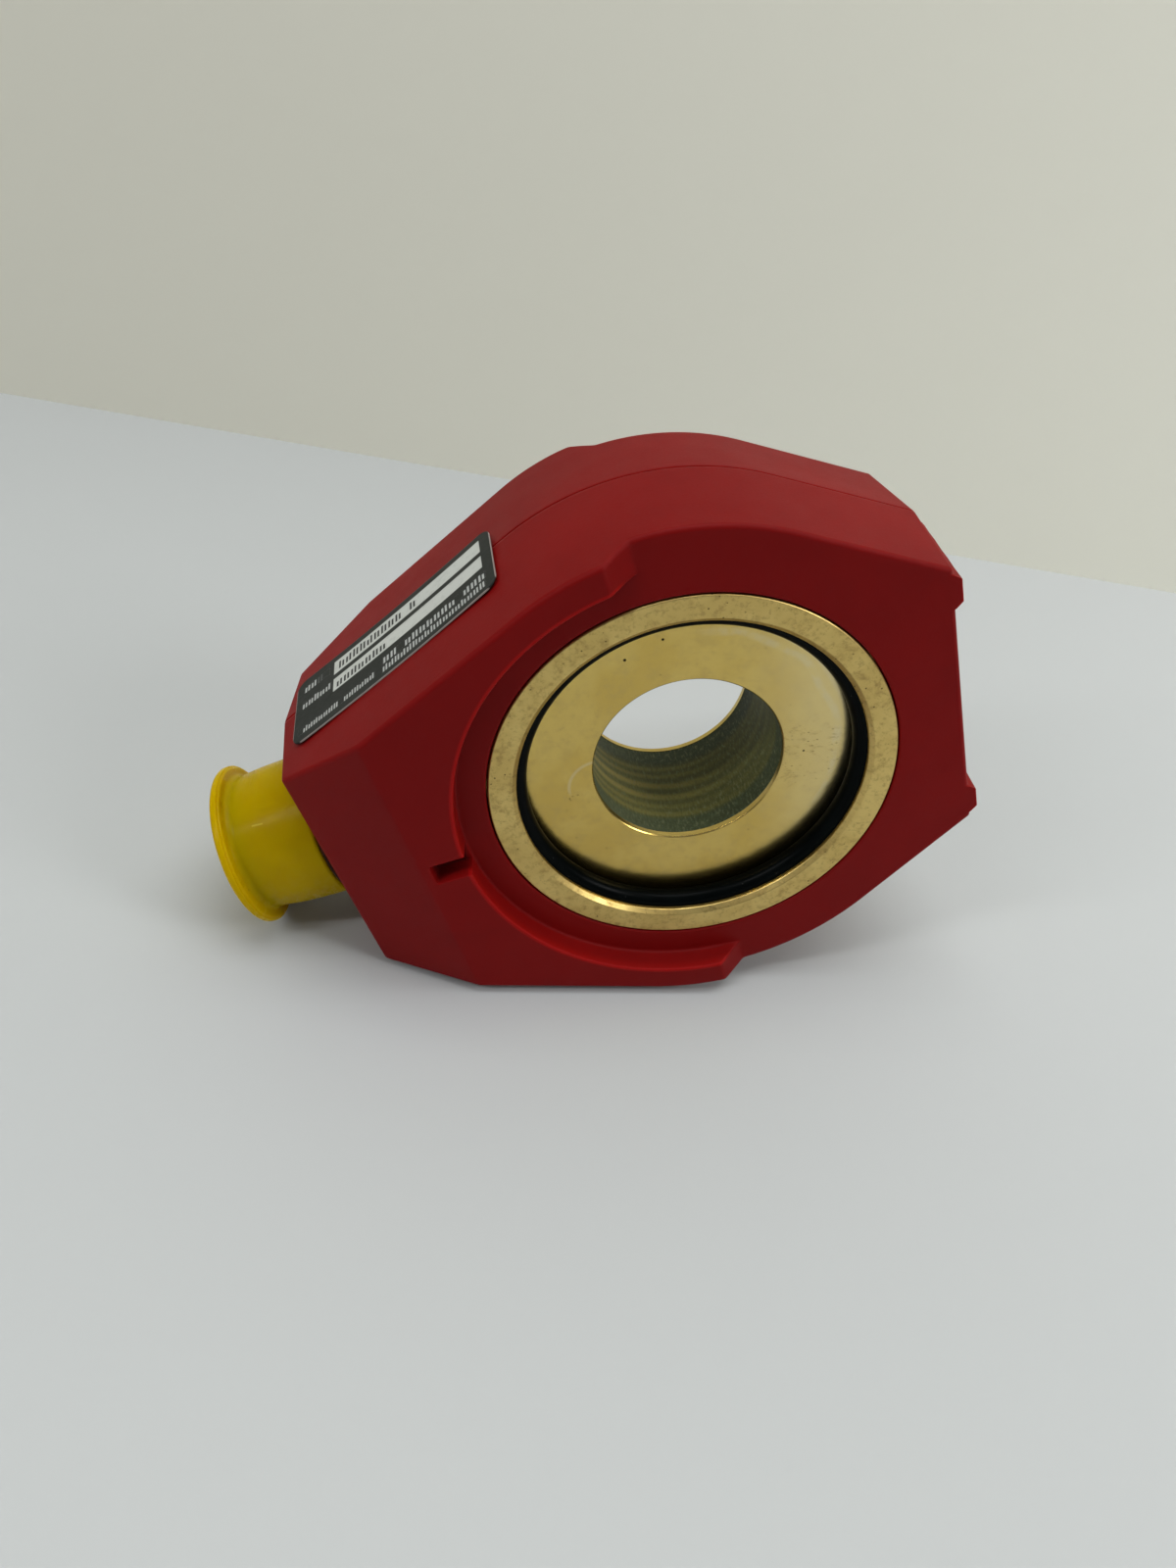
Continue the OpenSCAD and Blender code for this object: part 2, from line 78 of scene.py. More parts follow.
def hinge(u, soft):
    # 0 below 0 and u above it, with the kink rounded over about soft
    return (u + np.sqrt(u * u + soft * soft)) / 2


def softCorners(corners, radius, steps=6, lead=0.12, closed=True):
    # Outline whose corners become parabolas set back by radius, or by 0.42 of the shorter
    # side where that is less. A short straight lead on both sides of each keeps the flats
    # flat under smooth shading. An open outline keeps its two ends.
    p = np.asarray(corners, float)
    back, ahead = np.roll(p, 1, 0) - p, np.roll(p, -1, 0) - p
    backLength = np.linalg.norm(back, axis=1, keepdims=True)
    aheadLength = np.linalg.norm(ahead, axis=1, keepdims=True)
    setback = np.minimum(np.reshape(radius, (-1, 1)), 0.42 * np.minimum(backLength, aheadLength))
    toBack, toAhead = back / backLength * setback, ahead / aheadLength * setback
    t = np.linspace(0, 1, steps + 1)[None, :, None]
    start, middle, end = (p + toBack)[:, None], p[:, None], (p + toAhead)[:, None]
    curve = start * (1 - t) ** 2 + 2 * middle * t * (1 - t) + end * t ** 2
    leadIn, leadOut = p + toBack * (1 + lead), p + toAhead * (1 + lead)
    soft = np.concatenate([leadIn[:, None], curve, leadOut[:, None]], 1)
    if closed:
        return soft.reshape(-1, 2)
    return np.concatenate([p[:1], soft[1:-1].reshape(-1, 2), p[-1:]])


def tidyMesh(mesh, sharpAngle=None):
    # Merges poles and seams and turns the faces outwards
    made = bmesh.new()
    made.from_mesh(mesh)
    bmesh.ops.remove_doubles(made, verts=made.verts, dist=2e-7)
    bmesh.ops.recalc_face_normals(made, faces=made.faces)
    made.to_mesh(mesh)
    made.free()
    mesh.shade_smooth()
    if sharpAngle:
        mesh.set_sharp_from_angle(angle=math.radians(sharpAngle))
    return mesh


def gridMesh(name, points, closedRows=True, uv=None):
    # Mesh of a rows x columns grid whose columns always close, and its rows where asked. A
    # uv map has one column, and one row, more where it closes.
    rows, columns = points.shape[:2]
    index = np.arange(rows * columns).reshape(rows, columns)
    if closedRows:
        index = np.concatenate([index, index[:1]], 0)
    index = np.concatenate([index, index[:, :1]], 1)
    here, onward = slice(None, -1), slice(1, None)
    corners = [(here, here), (here, onward), (onward, onward), (onward, here)]
    quads = np.stack([index[c] for c in corners], -1).reshape(-1, 4)
    mesh = bpy.data.meshes.new(name)
    mesh.vertices.add(rows * columns)
    mesh.vertices.foreach_set("co", points.astype(np.float32).ravel())
    mesh.loops.add(quads.size)
    mesh.loops.foreach_set("vertex_index", quads.astype(np.int32).ravel())
    mesh.polygons.add(len(quads))
    mesh.polygons.foreach_set("loop_start", np.arange(0, quads.size, 4, dtype=np.int32))
    mesh.update(calc_edges=True)
    if uv is not None:
        layer = mesh.uv_layers.new(name="surface")
        spots = np.stack([uv[c] for c in corners], -2)
        layer.uv.foreach_set("vector", spots.astype(np.float32).ravel())
    return mesh


def dress(item, finish):
    item.data.materials.clear()
    item.data.materials.append(finish.material)


def piece(name, mesh, finish, body, slot, *stoodFor):
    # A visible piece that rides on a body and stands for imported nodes
    made = bpy.data.objects.new(name, mesh)
    bpy.context.scene.collection.objects.link(made)
    dress(made, finish)
    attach(made, body)
    if stoodFor:
        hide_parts(*stoodFor)


def turnedGrid(profile, alongBore=True, segments=256):
    # The profile's (radius, height) pairs carried round the bore or the connector axis
    angle = np.linspace(0, 2 * math.pi, segments, endpoint=False)
    radius, height = profile[:, :1], profile[:, 1:]
    across, up = radius * np.cos(angle), radius * np.sin(angle)
    if alongBore:
        return stand(across, up, height)
    return stand(-height, across, up)


def cutBy(mesh, cutters, sharpAngle=32):
    # The mesh with the cutters taken out of it
    host = bpy.data.objects.new("host", mesh)
    bpy.context.scene.collection.objects.link(host)
    tools = []
    for number, cutter in enumerate(cutters):
        tool = bpy.data.objects.new(f"cutter{number}", tidyMesh(cutter))
        bpy.context.scene.collection.objects.link(tool)
        cut = host.modifiers.new("cut", "BOOLEAN")
        cut.operation, cut.solver, cut.object = "DIFFERENCE", "EXACT", tool
        tools.append(tool)
    evaluated = host.evaluated_get(bpy.context.evaluated_depsgraph_get())
    result = bpy.data.meshes.new_from_object(evaluated)
    for used in [host, *tools]:
        bpy.data.objects.remove(used)
    result.shade_smooth()
    result.set_sharp_from_angle(angle=math.radians(sharpAngle))
    return result


# Camera

camera = dict(
    place=(-0.04693, -0.15285, 0.09807),
    right=(0.98388, -0.11644, 0.13571),
    ahead=(0.17449, 0.79115, -0.58621),
    lens=24.525, sensor=36, near=0.01, far=20,
)


def makeCamera():
    lensObject = bpy.data.objects.new("camera", bpy.data.cameras.new("camera"))
    lensObject.data.lens, lensObject.data.sensor_width = camera["lens"], camera["sensor"]
    lensObject.data.clip_start, lensObject.data.clip_end = camera["near"], camera["far"]
    ahead = Vector(camera["ahead"]).normalized()
    up = Vector(camera["right"]).cross(ahead).normalized()
    axes = Matrix((ahead.cross(up), up, -ahead)).transposed().to_4x4()
    lensObject.matrix_world = Matrix.Translation(camera["place"]) @ axes
    bpy.context.scene.collection.objects.link(lensObject)
    bpy.context.scene.camera = lensObject


makeCamera()
print("camera placed")

# Shader wiring


class Wire:
    # A shader socket that takes part in sums: each operator adds a Math node
    def __init__(self, finish, socket):
        self.finish, self.socket = finish, socket

    def maths(self, operation, *values):
        inputs = {number: value for number, value in enumerate(values)}
        return self.finish.add("Math", {"operation": operation}, inputs)

    def __add__(self, other):
        return self.maths("ADD", self, other)

    def __radd__(self, other):
        return self.maths("ADD", other, self)

    def __sub__(self, other):
        return self.maths("SUBTRACT", self, other)

    def __rsub__(self, other):
        return self.maths("SUBTRACT", other, self)

    def __mul__(self, other):
        return self.maths("MULTIPLY", self, other)

    def __rmul__(self, other):
        return self.maths("MULTIPLY", other, self)

    def __pow__(self, other):
        return self.maths("POWER", self, other)

    def size(self):
        # Distance from zero
        return self.maths("ABSOLUTE", self)

    def lower(self, other):
        return self.maths("MINIMUM", self, other)

    def upper(self, other):
        return self.maths("MAXIMUM", self, other)

    def over(self, start, end):
        # Smooth step: 0 at start, 1 at end, also where end is the smaller
        settings = {"interpolation_type": "SMOOTHSTEP"}
        inputs = {"Value": self, "From Min": start, "From Max": end}
        return self.finish.add("MapRange", settings, inputs)


class Finish:
    # One material: fixed values go straight onto the shader's own sockets
    def __init__(self, name, fixed):
        self.material = bpy.data.materials.new(name)
        self.material.use_nodes = True
        self.tree = self.material.node_tree
        self.shader = self.tree.nodes["Principled BSDF"]
        for socket, value in fixed.items():
            self.shader.inputs[socket].default_value = value

    def add(self, kind, settings=None, inputs=None, output=0):
        # Any node: its settings first, then the values or links of its sockets
        made = self.tree.nodes.new("ShaderNode" + kind)
        for key, value in (settings or {}).items():
            setattr(made, key, value)
        for key, value in (inputs or {}).items():
            if isinstance(value, Wire):
                self.tree.links.new(value.socket, made.inputs[key])
            else:
                made.inputs[key].default_value = value
        return Wire(self, made.outputs[output])

    def feed(self, socket, value):
        self.tree.links.new(value.socket, self.shader.inputs[socket])

    def place(self, scale=None, turn=(0, 0, 0)):
        # The frame's coordinates in metres, turned and stretched where a pattern needs it
        spot = self.add("TexCoord", output="Object")
        if scale is None:
            return spot
        return self.add("Mapping", None, {"Vector": spot, "Scale": scale, "Rotation": turn})

    def axes(self, vector):
        split = self.add("SeparateXYZ", None, {"Vector": vector})
        return [Wire(self, out) for out in split.socket.node.outputs]

    def inMm(self, spot):
        # The frame's x, y and z in mm
        return [part * (1 / mm) for part in self.axes(spot)]

    def plan(self, spot):
        # The plan coordinates x, y and z in mm: stand worked backwards
        x, y, z = self.inMm(spot)
        c, s = math.cos(flankSlope), math.sin(flankSlope)
        return x * c + z * s, z * c - x * s, y * -1

    def surface(self):
        # The piece's own map, in mm
        return self.axes(self.add("UVMap", {"uv_map": "surface"}))[:2]

    def join(self, x, y):
        return self.add("CombineXYZ", None, {"X": x, "Y": y})

    def noise(self, vector, scale, detail=3.0, rough=0.55):
        inputs = {"Vector": vector, "Scale": scale, "Detail": detail, "Roughness": rough}
        return self.add("TexNoise", None, inputs)

    def blend(self, factor, first, second, mode="MIX"):
        # Sockets 0, 6 and 7 of a Mix node are its factor and its two colours
        settings = {"data_type": "RGBA", "blend_type": mode}
        return self.add("Mix", settings, {0: factor, 6: first, 7: second}, 2)

    def bump(self, height, distance, under=None, strength=1.0):
        inputs = {"Height": height, "Distance": distance, "Strength": strength}
        if under:
            inputs["Normal"] = under
        return self.add("Bump", None, inputs)


# Moulded housing

housing = dict(
    backR=45.0, heelX=45.0, heelHalf=24.17, connX=62.6, heelFlat=58.0, draft=3.65, edgeR=0.8,
    faceZ=18.8, rimZ=reach("front_shell"), rimR=38.7, rimEndX=4.4, rimLip=0.35, creaseX=46.1,
    slopeDrop=7.4, holeR=33.55, wallZ=14.2, cavityR=37.0, ribY=20.4, ribW=3.8, ribH=1.2,
    slotW=3.8, slotL=5.8, slotZ=19.1, slotStart=36.0, soft=0.25, neckHoleR=9.55, spotR=13.3,
    spotX=61.7, seam=((0.02, 0.45), (0.08, 0.4), (0.13, 0.2), (0.17, 0.04), (0.25, 0.0)),
)

screws = dict(
    angles=(30.5, 146.5, -146.5, -30.5), ringR=43.4, boreR=3.06, holeR=1.7, depth=12.0,
)


def topHeight(x):
    # Height of the top face from rounded steps: flat rim, 45 degree drop at its ends on the
    # heel side, and the sloping face beyond the crease on the connector side
    h = housing
    slope = h["slopeDrop"] / (h["connX"] - h["creaseX"])
    past, high = x + h["rimEndX"], h["rimZ"] - h["faceZ"]
    drop = hinge(past, h["soft"]) - hinge(past - high, h["soft"])
    return h["rimZ"] - slope * hinge(-h["creaseX"] - x, h["soft"]) - drop


def outlineColumns():
    # Upper half of the outline as columns of (flat or arc, share of the way along a flat,
    # angle of the normal). They are dense at the ribs, at the rim's ends and at the crease.
    heel, flank, half = housing["heelFlat"], 90 + math.degrees(flankSlope), housing["heelHalf"]
    heelSteps = np.append(np.linspace(0, 16.6, 13), np.linspace(17.0, half, 37)[:-1]) / half
    backTurns = np.concatenate([
        np.linspace(heel, 86, 45), np.linspace(86.3, 100, 34), np.linspace(101, flank, 17)])
    flankSteps = np.concatenate([
        np.linspace(0, 0.52, 22)[1:], np.linspace(0.54, 0.7, 30), np.linspace(0.72, 1, 12)[:-1]])
    parts = [
        ("heel", heelSteps, 0),
        ("heelCorner", 1, np.linspace(0, heel, 9)),
        ("shortFlat", np.linspace(0, 1, 14)[1:-1], heel),
        ("back", 0, backTurns),
        ("flank", flankSteps, flank),
        ("connCorner", 1, np.linspace(flank, 180, 9)),
        ("conn", np.linspace(1, 0, 22)[1:], 180),
    ]
    names, shares, turns = zip(*[np.broadcast_arrays(*part) for part in parts])
    return np.concatenate(names), np.concatenate(shares), np.radians(np.concatenate(turns))


def spine(kind, share, angle, z):
    # Outline at height z, moved in by the edge radius: where the centre of the edge
    # rounding runs. The draft moves every side in by the same amount.
    h = housing
    inset = h["edgeR"] + math.tan(math.radians(h["draft"])) * z
    back, heelX, connX = h["backR"] - inset, h["heelX"] - inset, -(h["connX"] - inset)
    heel, flank = math.radians(h["heelFlat"]), math.pi / 2 + flankSlope
    heelY = (back - heelX * math.cos(heel)) / math.sin(heel)
    connY = (back - connX * math.cos(flank)) / math.sin(flank)
    bx, by = back * np.cos(angle), back * np.sin(angle)
    names = ("heel", "heelCorner", "shortFlat", "back", "flank", "connCorner", "conn")
    alongX = (heelX, heelX, heelX + (bx - heelX) * share, bx, bx + (connX - bx) * share, connX, connX)
    alongY = (heelY * share, heelY, heelY + (by - heelY) * share, by, by + (connY - by) * share,
              connY, connY * share)
    picks = [kind == name for name in names]
    return np.select(picks, alongX), np.select(picks, alongY)


def shellGrid():
    # Section of the half housing carried round its outline: bevel at the parting line,
    # drafted side, edge rounding, top face, inner wall of the rim, face, hole, cavity
    h = housing
    kind, share, angle = outlineColumns()
    edge, face, hole, rim, lip = h["edgeR"], h["faceZ"], h["holeR"], h["rimR"], h["rimLip"]
    nx, ny = np.cos(angle), np.sin(angle)
    topZ = topHeight(spine(kind, share, angle, face - edge)[0] + edge * nx) - edge
    rows = []

    def ribOut(y, z):
        # Ribs on the heel, 1 mm wider at their foot, which end just under the face
        crest = np.clip(h["ribW"] / 2 + 1 - np.abs(np.abs(y) - h["ribY"]), 0, 1)
        return np.where((kind == "heel") & (z < face - 0.03), h["ribH"] * crest, 0.0)

    # Side as (height, depth that the seam's bevel cuts in)
    seamTop = h["seam"][-1][0]
    side = [(seamTop + (topZ - seamTop) * t, 0.0) for t in np.linspace(0.03, 1, 15)]
    for z, deep in (*h["seam"], *side):
        sx, sy = spine(kind, share, angle, z)
        px, py = sx + (edge - deep) * nx, sy + (edge - deep) * ny
        rows.append((px + ribOut(py, z), py, z))
    sx, sy = spine(kind, share, angle, topZ)
    for turn in np.radians([6, 16, 28, 34.6, 34.7, 46, 58, 70, 81, 90]):
        px, py = sx + edge * math.cos(turn) * nx, sy + edge * math.cos(turn) * ny
        z = topHeight(px) - edge * (1 - math.sin(turn))
        faceX = spine(kind, share, angle, z)[0] + edge
        out = np.where(ribOut(py, z) > 0, faceX - px, 0)
        rows.append((px + out + ribOut(py, z), py, z))

    # Top face in straight lines from the edge to the rim's wall, with a row on the crease
    polar = np.arctan2(sy + edge * ny, sx + edge * nx)
    cosine, sine = np.cos(polar), np.sin(polar)
    cx, cy = (rim + lip) * cosine, (rim + lip) * sine
    crossing = np.clip((-h["creaseX"] - sx) / (cx - sx), 0.03, 1)
    rest = np.clip((sx + h["creaseX"]) / 25, 0, 1)
    split = np.where(sx < -h["creaseX"], crossing, 0.03 + 0.47 * rest * rest * (3 - 2 * rest))
    toCrease = [split * t for t in (*np.linspace(0, 0.93, 10)[1:], 0.975, 1.0)]
    toWall = [split + (1 - split) * t for t in (0.015, *np.linspace(0.05, 1, 14))]
    for way in toCrease + toWall:
        px, py = sx + (cx - sx) * way, sy + (cy - sy) * way
        rows.append((px, py, topHeight(px)))

    # Wall of the recess as (radius past the rim's, share of its height), then the face, the
    # hole and the cavity as (radius, height)
    wallTop = topHeight(rim * cosine) - face
    lipTurn, lipHigh = np.radians([20, 45, 70, 90]), lip / (h["rimZ"] - face)
    wall = [(lip - lip * math.sin(a), 1 - lipHigh * (1 - math.cos(a))) for a in lipTurn]
    wall += [(-0.02 - 0.03 * k, 0.85 - 0.12 * k) for k in range(7)]
    wall += [(-0.25, 0.06), (-0.38, 0.02), (-0.55, 0.0)]
    inner = [(rim + out, face + wallTop * high) for out, high in wall]
    inner += [(rim - 0.8, face), (rim - 2.0, face), (hole + 1.2, face), (hole + 0.45, face),
              (hole + 0.3, face), (hole + 0.12, face - 0.06), (hole, face - 0.25),
              (hole, face - 0.5), (hole, h["wallZ"]), (h["cavityR"], h["wallZ"]), (h["cavityR"], 0.02)]
    rows += [(radius * cosine, radius * sine, z) for radius, z in inner]

    # The lower half mirrors the upper one, without the two columns that they share
    upper = np.stack([np.stack(np.broadcast_arrays(*row)) for row in rows])
    lower = upper[:, :, -2:0:-1] * np.array([1, -1, 1])[None, :, None]
    return np.concatenate([upper, lower], 2).transpose(0, 2, 1)


def slotTool(side):
    # Rounded outline stacked from the slot's floor to above the rim. It grows by the given
    # steps: rounded in at the floor, out at the mouth. Both ends close at its middle.
    h = housing
    floor, rim, half, end = h["slotZ"], h["rimZ"], h["slotW"] / 2, h["rimR"] + h["slotL"]
    start = h["slotStart"]
    outline = softCorners([(-end, -half), (-start, -half), (-start, half), (-end, half)], 0.45, 5)
    middle = np.array([-40.0, 0.0])
    away = (outline - middle) / np.abs(outline - middle).max(1, keepdims=True)
    steps = ((-0.25, floor), (-0.07, floor + 0.07), (0.0, floor + 0.3), (0.0, rim - 0.35),
             (0.1, rim - 0.1), (0.35, rim), (1.2, rim + 0.6))
    sections = [(outline + away * grow, z) for grow, z in steps]
    sections = [(middle + 0 * outline, floor), *sections, (middle + 0 * outline, rim + 0.6)]
    return np.stack([stand(*section.T, side * z) for section, z in sections])


def screwTool(angle, side):
    # Stepped hole as (radius, height) pairs carried round a screw's own axis
    x, y = screws["ringR"] * math.cos(angle), screws["ringR"] * math.sin(angle)
    top = housing["faceZ"] if x > 0 else housing["rimZ"]
    bore, hole, depth = screws["boreR"], screws["holeR"], screws["depth"]
    steps = np.array([(0, -1), (hole, -1), (hole, depth), (bore, depth), (bore, top - 0.35),
                      (bore + 0.35, top), (bore + 1.3, top + 1), (0, top + 1)])
    radius, height = steps[:, :1], steps[:, 1:]
    turn = np.linspace(0, 2 * math.pi, 48, endpoint=False)
    return stand(x + radius * np.cos(turn), y + radius * np.sin(turn), side * height)


def shellCutters(side):
    # Locating slot, the connector's stepped hole with a bevelled mouth, and on the rear half
    # the screw holes
    neck, spot, spotX, mouth = (housing[key] for key in ("neckHoleR", "spotR", "spotX", "connX"))
    start, past = mouth - 9.6, mouth + 1.4
    steps = np.array([(0, start), (neck, start), (neck, spotX), (spot, spotX), (spot, mouth - 0.25),
                      (spot + 0.4, mouth + 0.1), (spot + 1.7, past), (0, past)])
    grids = [slotTool(side), turnedGrid(steps, False, 48)]
    if side < 0:
        grids += [screwTool(angle, side) for angle in np.radians(screws["angles"])]
    return [gridMesh("tool", grid, closedRows=False) for grid in grids]


def makeShells():
    grid = shellGrid()
    for name, side in (("front_shell", 1), ("rear_shell", -1)):
        points = stand(grid[..., 0], grid[..., 1], grid[..., 2] * side)
        mesh = cutBy(tidyMesh(gridMesh(name + "_moulded", points)), shellCutters(side))
        piece(name + "_moulded", mesh, redMoulding, "probe", "housing", name)
        print(name, len(mesh.polygons), "faces")


def makeRedMoulding():
    # The rounded edge of the recess is painted brighter red as a painted highlight, and the locating slot
    # is painted dark as painted shade
    f = Finish("red moulding", {
        "Specular IOR Level": 0.09, "Subsurface Weight": 0.5,
        "Subsurface Radius": (1.0, 0.08, 0.06), "Subsurface Scale": 0.0015,
    })
    spot = f.place()
    broad, cloud = f.noise(spot, 30, 2), f.noise(spot, 140, 4)
    base = f.blend(broad.over(0.3, 0.75), (0.172, 0.0022, 0.0021, 1), (0.198, 0.0027, 0.0025, 1))
    base = f.blend(cloud.over(0.45, 0.8) * 0.35, base, (0.15, 0.0028, 0.0027, 1))
    x, y, z = f.plan(spot)
    radius, high = (x * x + y * y) ** 0.5, z.size()
    rimEdge, slotMiddle = housing["rimR"] + 0.3, -42.0
    # Painted highlight: the rounded edge of the recess is painted brighter red where light catches it
    edge = (radius - rimEdge).size().over(0.5, 0.15) * high.over(20.5, 22.4)
    # Painted shade: the inside of the locating slot is painted dark
    slotShade = (x - slotMiddle).size().over(3.4, 2.4) * y.size().over(2.1, 1.7) * high.over(22.2, 20.4)
    base = f.blend(edge * 0.7, base, (0.34, 0.0045, 0.004, 1))
    base = f.blend(slotShade * 0.75, base, (0.028, 0.0015, 0.0014, 1))
    f.feed("Base Color", base)
    grain = f.noise(spot, 2400, 2)
    f.feed("Roughness", 0.42 + 0.12 * cloud + 0.08 * grain)
    f.feed("Normal", f.bump(grain, 0.00003, f.bump(broad, 0.0002), 0.6))
    return f


redMoulding = makeRedMoulding()
makeShells()
print("housing moulded")

# Turned pieces: (radius, height) outlines carried round the bore or the connector axis

cartridge = dict(
    boreR=16.0, tubeR=18.0, plateZ=13.4, plateBack=10.4, plateR=32.5, lips=(1.25, 1.2), seatR=28.7,
    ringR=33.3, ringBack=9.4, flangeR=36.5, chamfer=0.8, sealR=28.8, sealT=3.8, grooveR=30.75,
    pitch=2.6, slotW=1.6, slotR=16.9, gap=0.05, mouth=0.2, lipR=15.9,
    bands=((7.1, 0.95, 0.4), (4.9, 0.95, 0.4), (2.1, 1.35, 0.9), (-1.2, 1.35, 1.0),
           (-4.1, 1.0, 0.5), (-6.5, 0.95, 0.5)),
    pits=((-8.5, 22.44, 0.3, 0.15), (19.0, 3.4, 0.26, 0.1), (-13.76, 18.48, 0.34, 0.17)),
)


def ringProfile():
    # Section of a guide ring: seal groove, seat, chamfered mouth, ring, flange and plate seat
    c, face, wall = cartridge, housing["faceZ"], housing["wallZ"]
    plateZ, grooveZ = c["plateZ"], c["plateZ"] + c["sealT"] + 2 * c["gap"]
    groove, seat, ring, chamfer = c["grooveR"], c["seatR"], c["ringR"], c["chamfer"]
    flange, plate, back = c["flangeR"], c["plateR"] + c["gap"], c["ringBack"]
    corners = [(groove, plateZ), (groove, grooveZ), (seat, grooveZ), (seat, face - chamfer),
               (seat + chamfer, face), (ring - 0.2, face), (ring, face - 0.2), (ring, wall),
               (flange, wall), (flange, back), (plate, back), (plate, plateZ)]
    soft = [0.05, 0.05, 0.15, 0.18, 0.14, 0.1, 0.1, 0.05, 0.2, 0.2, 0.05, 0.05]
    return softCorners(corners, soft, 4)


def plateProfile(lip):
    # Section of an end plate, whose lip is rolled into the bore
    c = cartridge
    top, back, under = c["plateZ"], c["plateBack"], c["plateZ"] - lip
    inner, mouth, tube = c["lipR"], c["mouth"], c["tubeR"] + c["gap"]
    corners = [(inner, under), (inner, top - mouth), (inner + mouth, top), (c["plateR"], top),
               (c["plateR"], back), (tube, back), (tube, under)]
    return softCorners(corners, [0.03, 0.04, 0.04, 0.1, 0.1, 0.05, 0.05], 4)


def sealProfile():
    # Round section that rests on the plate
    turn, half = np.linspace(0, 2 * math.pi, 64, endpoint=False), cartridge["sealT"] / 2
    middle = cartridge["plateZ"] + half + cartridge["gap"]
    return np.stack([cartridge["sealR"] + half * np.cos(turn), middle + half * np.sin(turn)], 1)


def tubeProfile():
    # Section of the coil tube, with a slot in its outside for each of the six windings
    c = cartridge
    front, rear = c["plateZ"] - c["lips"][0], c["lips"][1] - c["plateZ"]
    outer = [(c["tubeR"], front)]
    for number in (2.5, 1.5, 0.5, -0.5, -1.5, -2.5):
        top, low = number * c["pitch"] + c["slotW"] / 2, number * c["pitch"] - c["slotW"] / 2
        outer += [(c["tubeR"], top), (c["slotR"], top), (c["slotR"], low), (c["tubeR"], low)]
    return np.array([(c["boreR"], rear), (c["boreR"], front), *outer, (c["tubeR"], rear)])


def roundUv(profile, radius, segments=256):
    # Map in mm: round the axis at the given radius, and along the outline
    steps = np.linalg.norm(np.diff(profile, axis=0, append=profile[:1]), axis=1)
    along = np.append(0, np.cumsum(steps))
    around = np.linspace(0, 2 * math.pi * radius, segments + 1)
    return np.stack(np.broadcast_arrays(around[None, :], along[:, None]), -1)


def makeTurned(name, profile, slot, stoodFor, finish, side=1, uv=None, sharp=40):
    mesh = tidyMesh(gridMesh(name, turnedGrid(profile * np.array([1, side])), uv=uv), sharp)
    piece(name, mesh, finish, "probe", slot, stoodFor)


def dotMask(f, vector, scale, size, share):
    # Scattered dots: of the cells of a Voronoi pattern, the given share holds one dot
    spots = f.add("TexVoronoi", None, {"Vector": vector, "Scale": scale})
    chance = f.axes(Wire(f, spots.socket.node.outputs["Color"]))[0]
    return spots.over(size, size * 0.55) * chance.over(share, share - 0.02)


def makeBrass(name, bright, warm, dull, rough, pitted, worn):
    # Turned brass with lathe rings, scratches, dull blotches and pits. Where it is worn it
    # is duller and rougher.
    f = Finish(name, {"Metallic": 1.0})
    spot = f.place()
    x, _, z = f.inMm(spot)
    radius = (x * x + z * z) ** 0.5
    cloud, blotch = f.noise(spot, 130, 3), f.noise(spot, 520, 5, 0.65)
    lathe = f.noise(f.join(radius * 3.2, 0.0), 1, 5, 0.7)
    fine = f.noise(spot, 2600, 3)
    scratch = f.noise(f.place(scale=(420, 420, 2600), turn=(0, 0.7, 0)), 1, 3, 0.6)
    pits = dotMask(f, spot, 900, 0.17, pitted) * cloud.over(0.5, 0.62)
    base = f.blend(cloud.over(0.35, 0.65), bright, warm)
    base = f.blend(blotch.over(0.5, 0.75) * 0.6, base, dull)
    base = f.blend(f.noise(spot, 1100, 4, 0.7).over(0.5, 0.68) * worn, base, dull)
    base = f.blend(scratch.over(0.56, 0.7) * cloud.over(0.5, 0.42) * 0.35, base, dull)
    base = f.blend(pits * 0.8, base, (0.08, 0.055, 0.02, 1))
    f.feed("Base Color", base)
    f.feed("Roughness", rough + 0.28 * worn * blotch.over(0.4, 0.8) + 0.1 * worn * fine)
    ground = f.bump(lathe, 0.00002, f.bump(cloud, 0.0001), 0.7 * worn)
    f.feed("Normal", f.bump(fine + scratch - pits * 4, 0.00002, ground, worn))
    return f, base


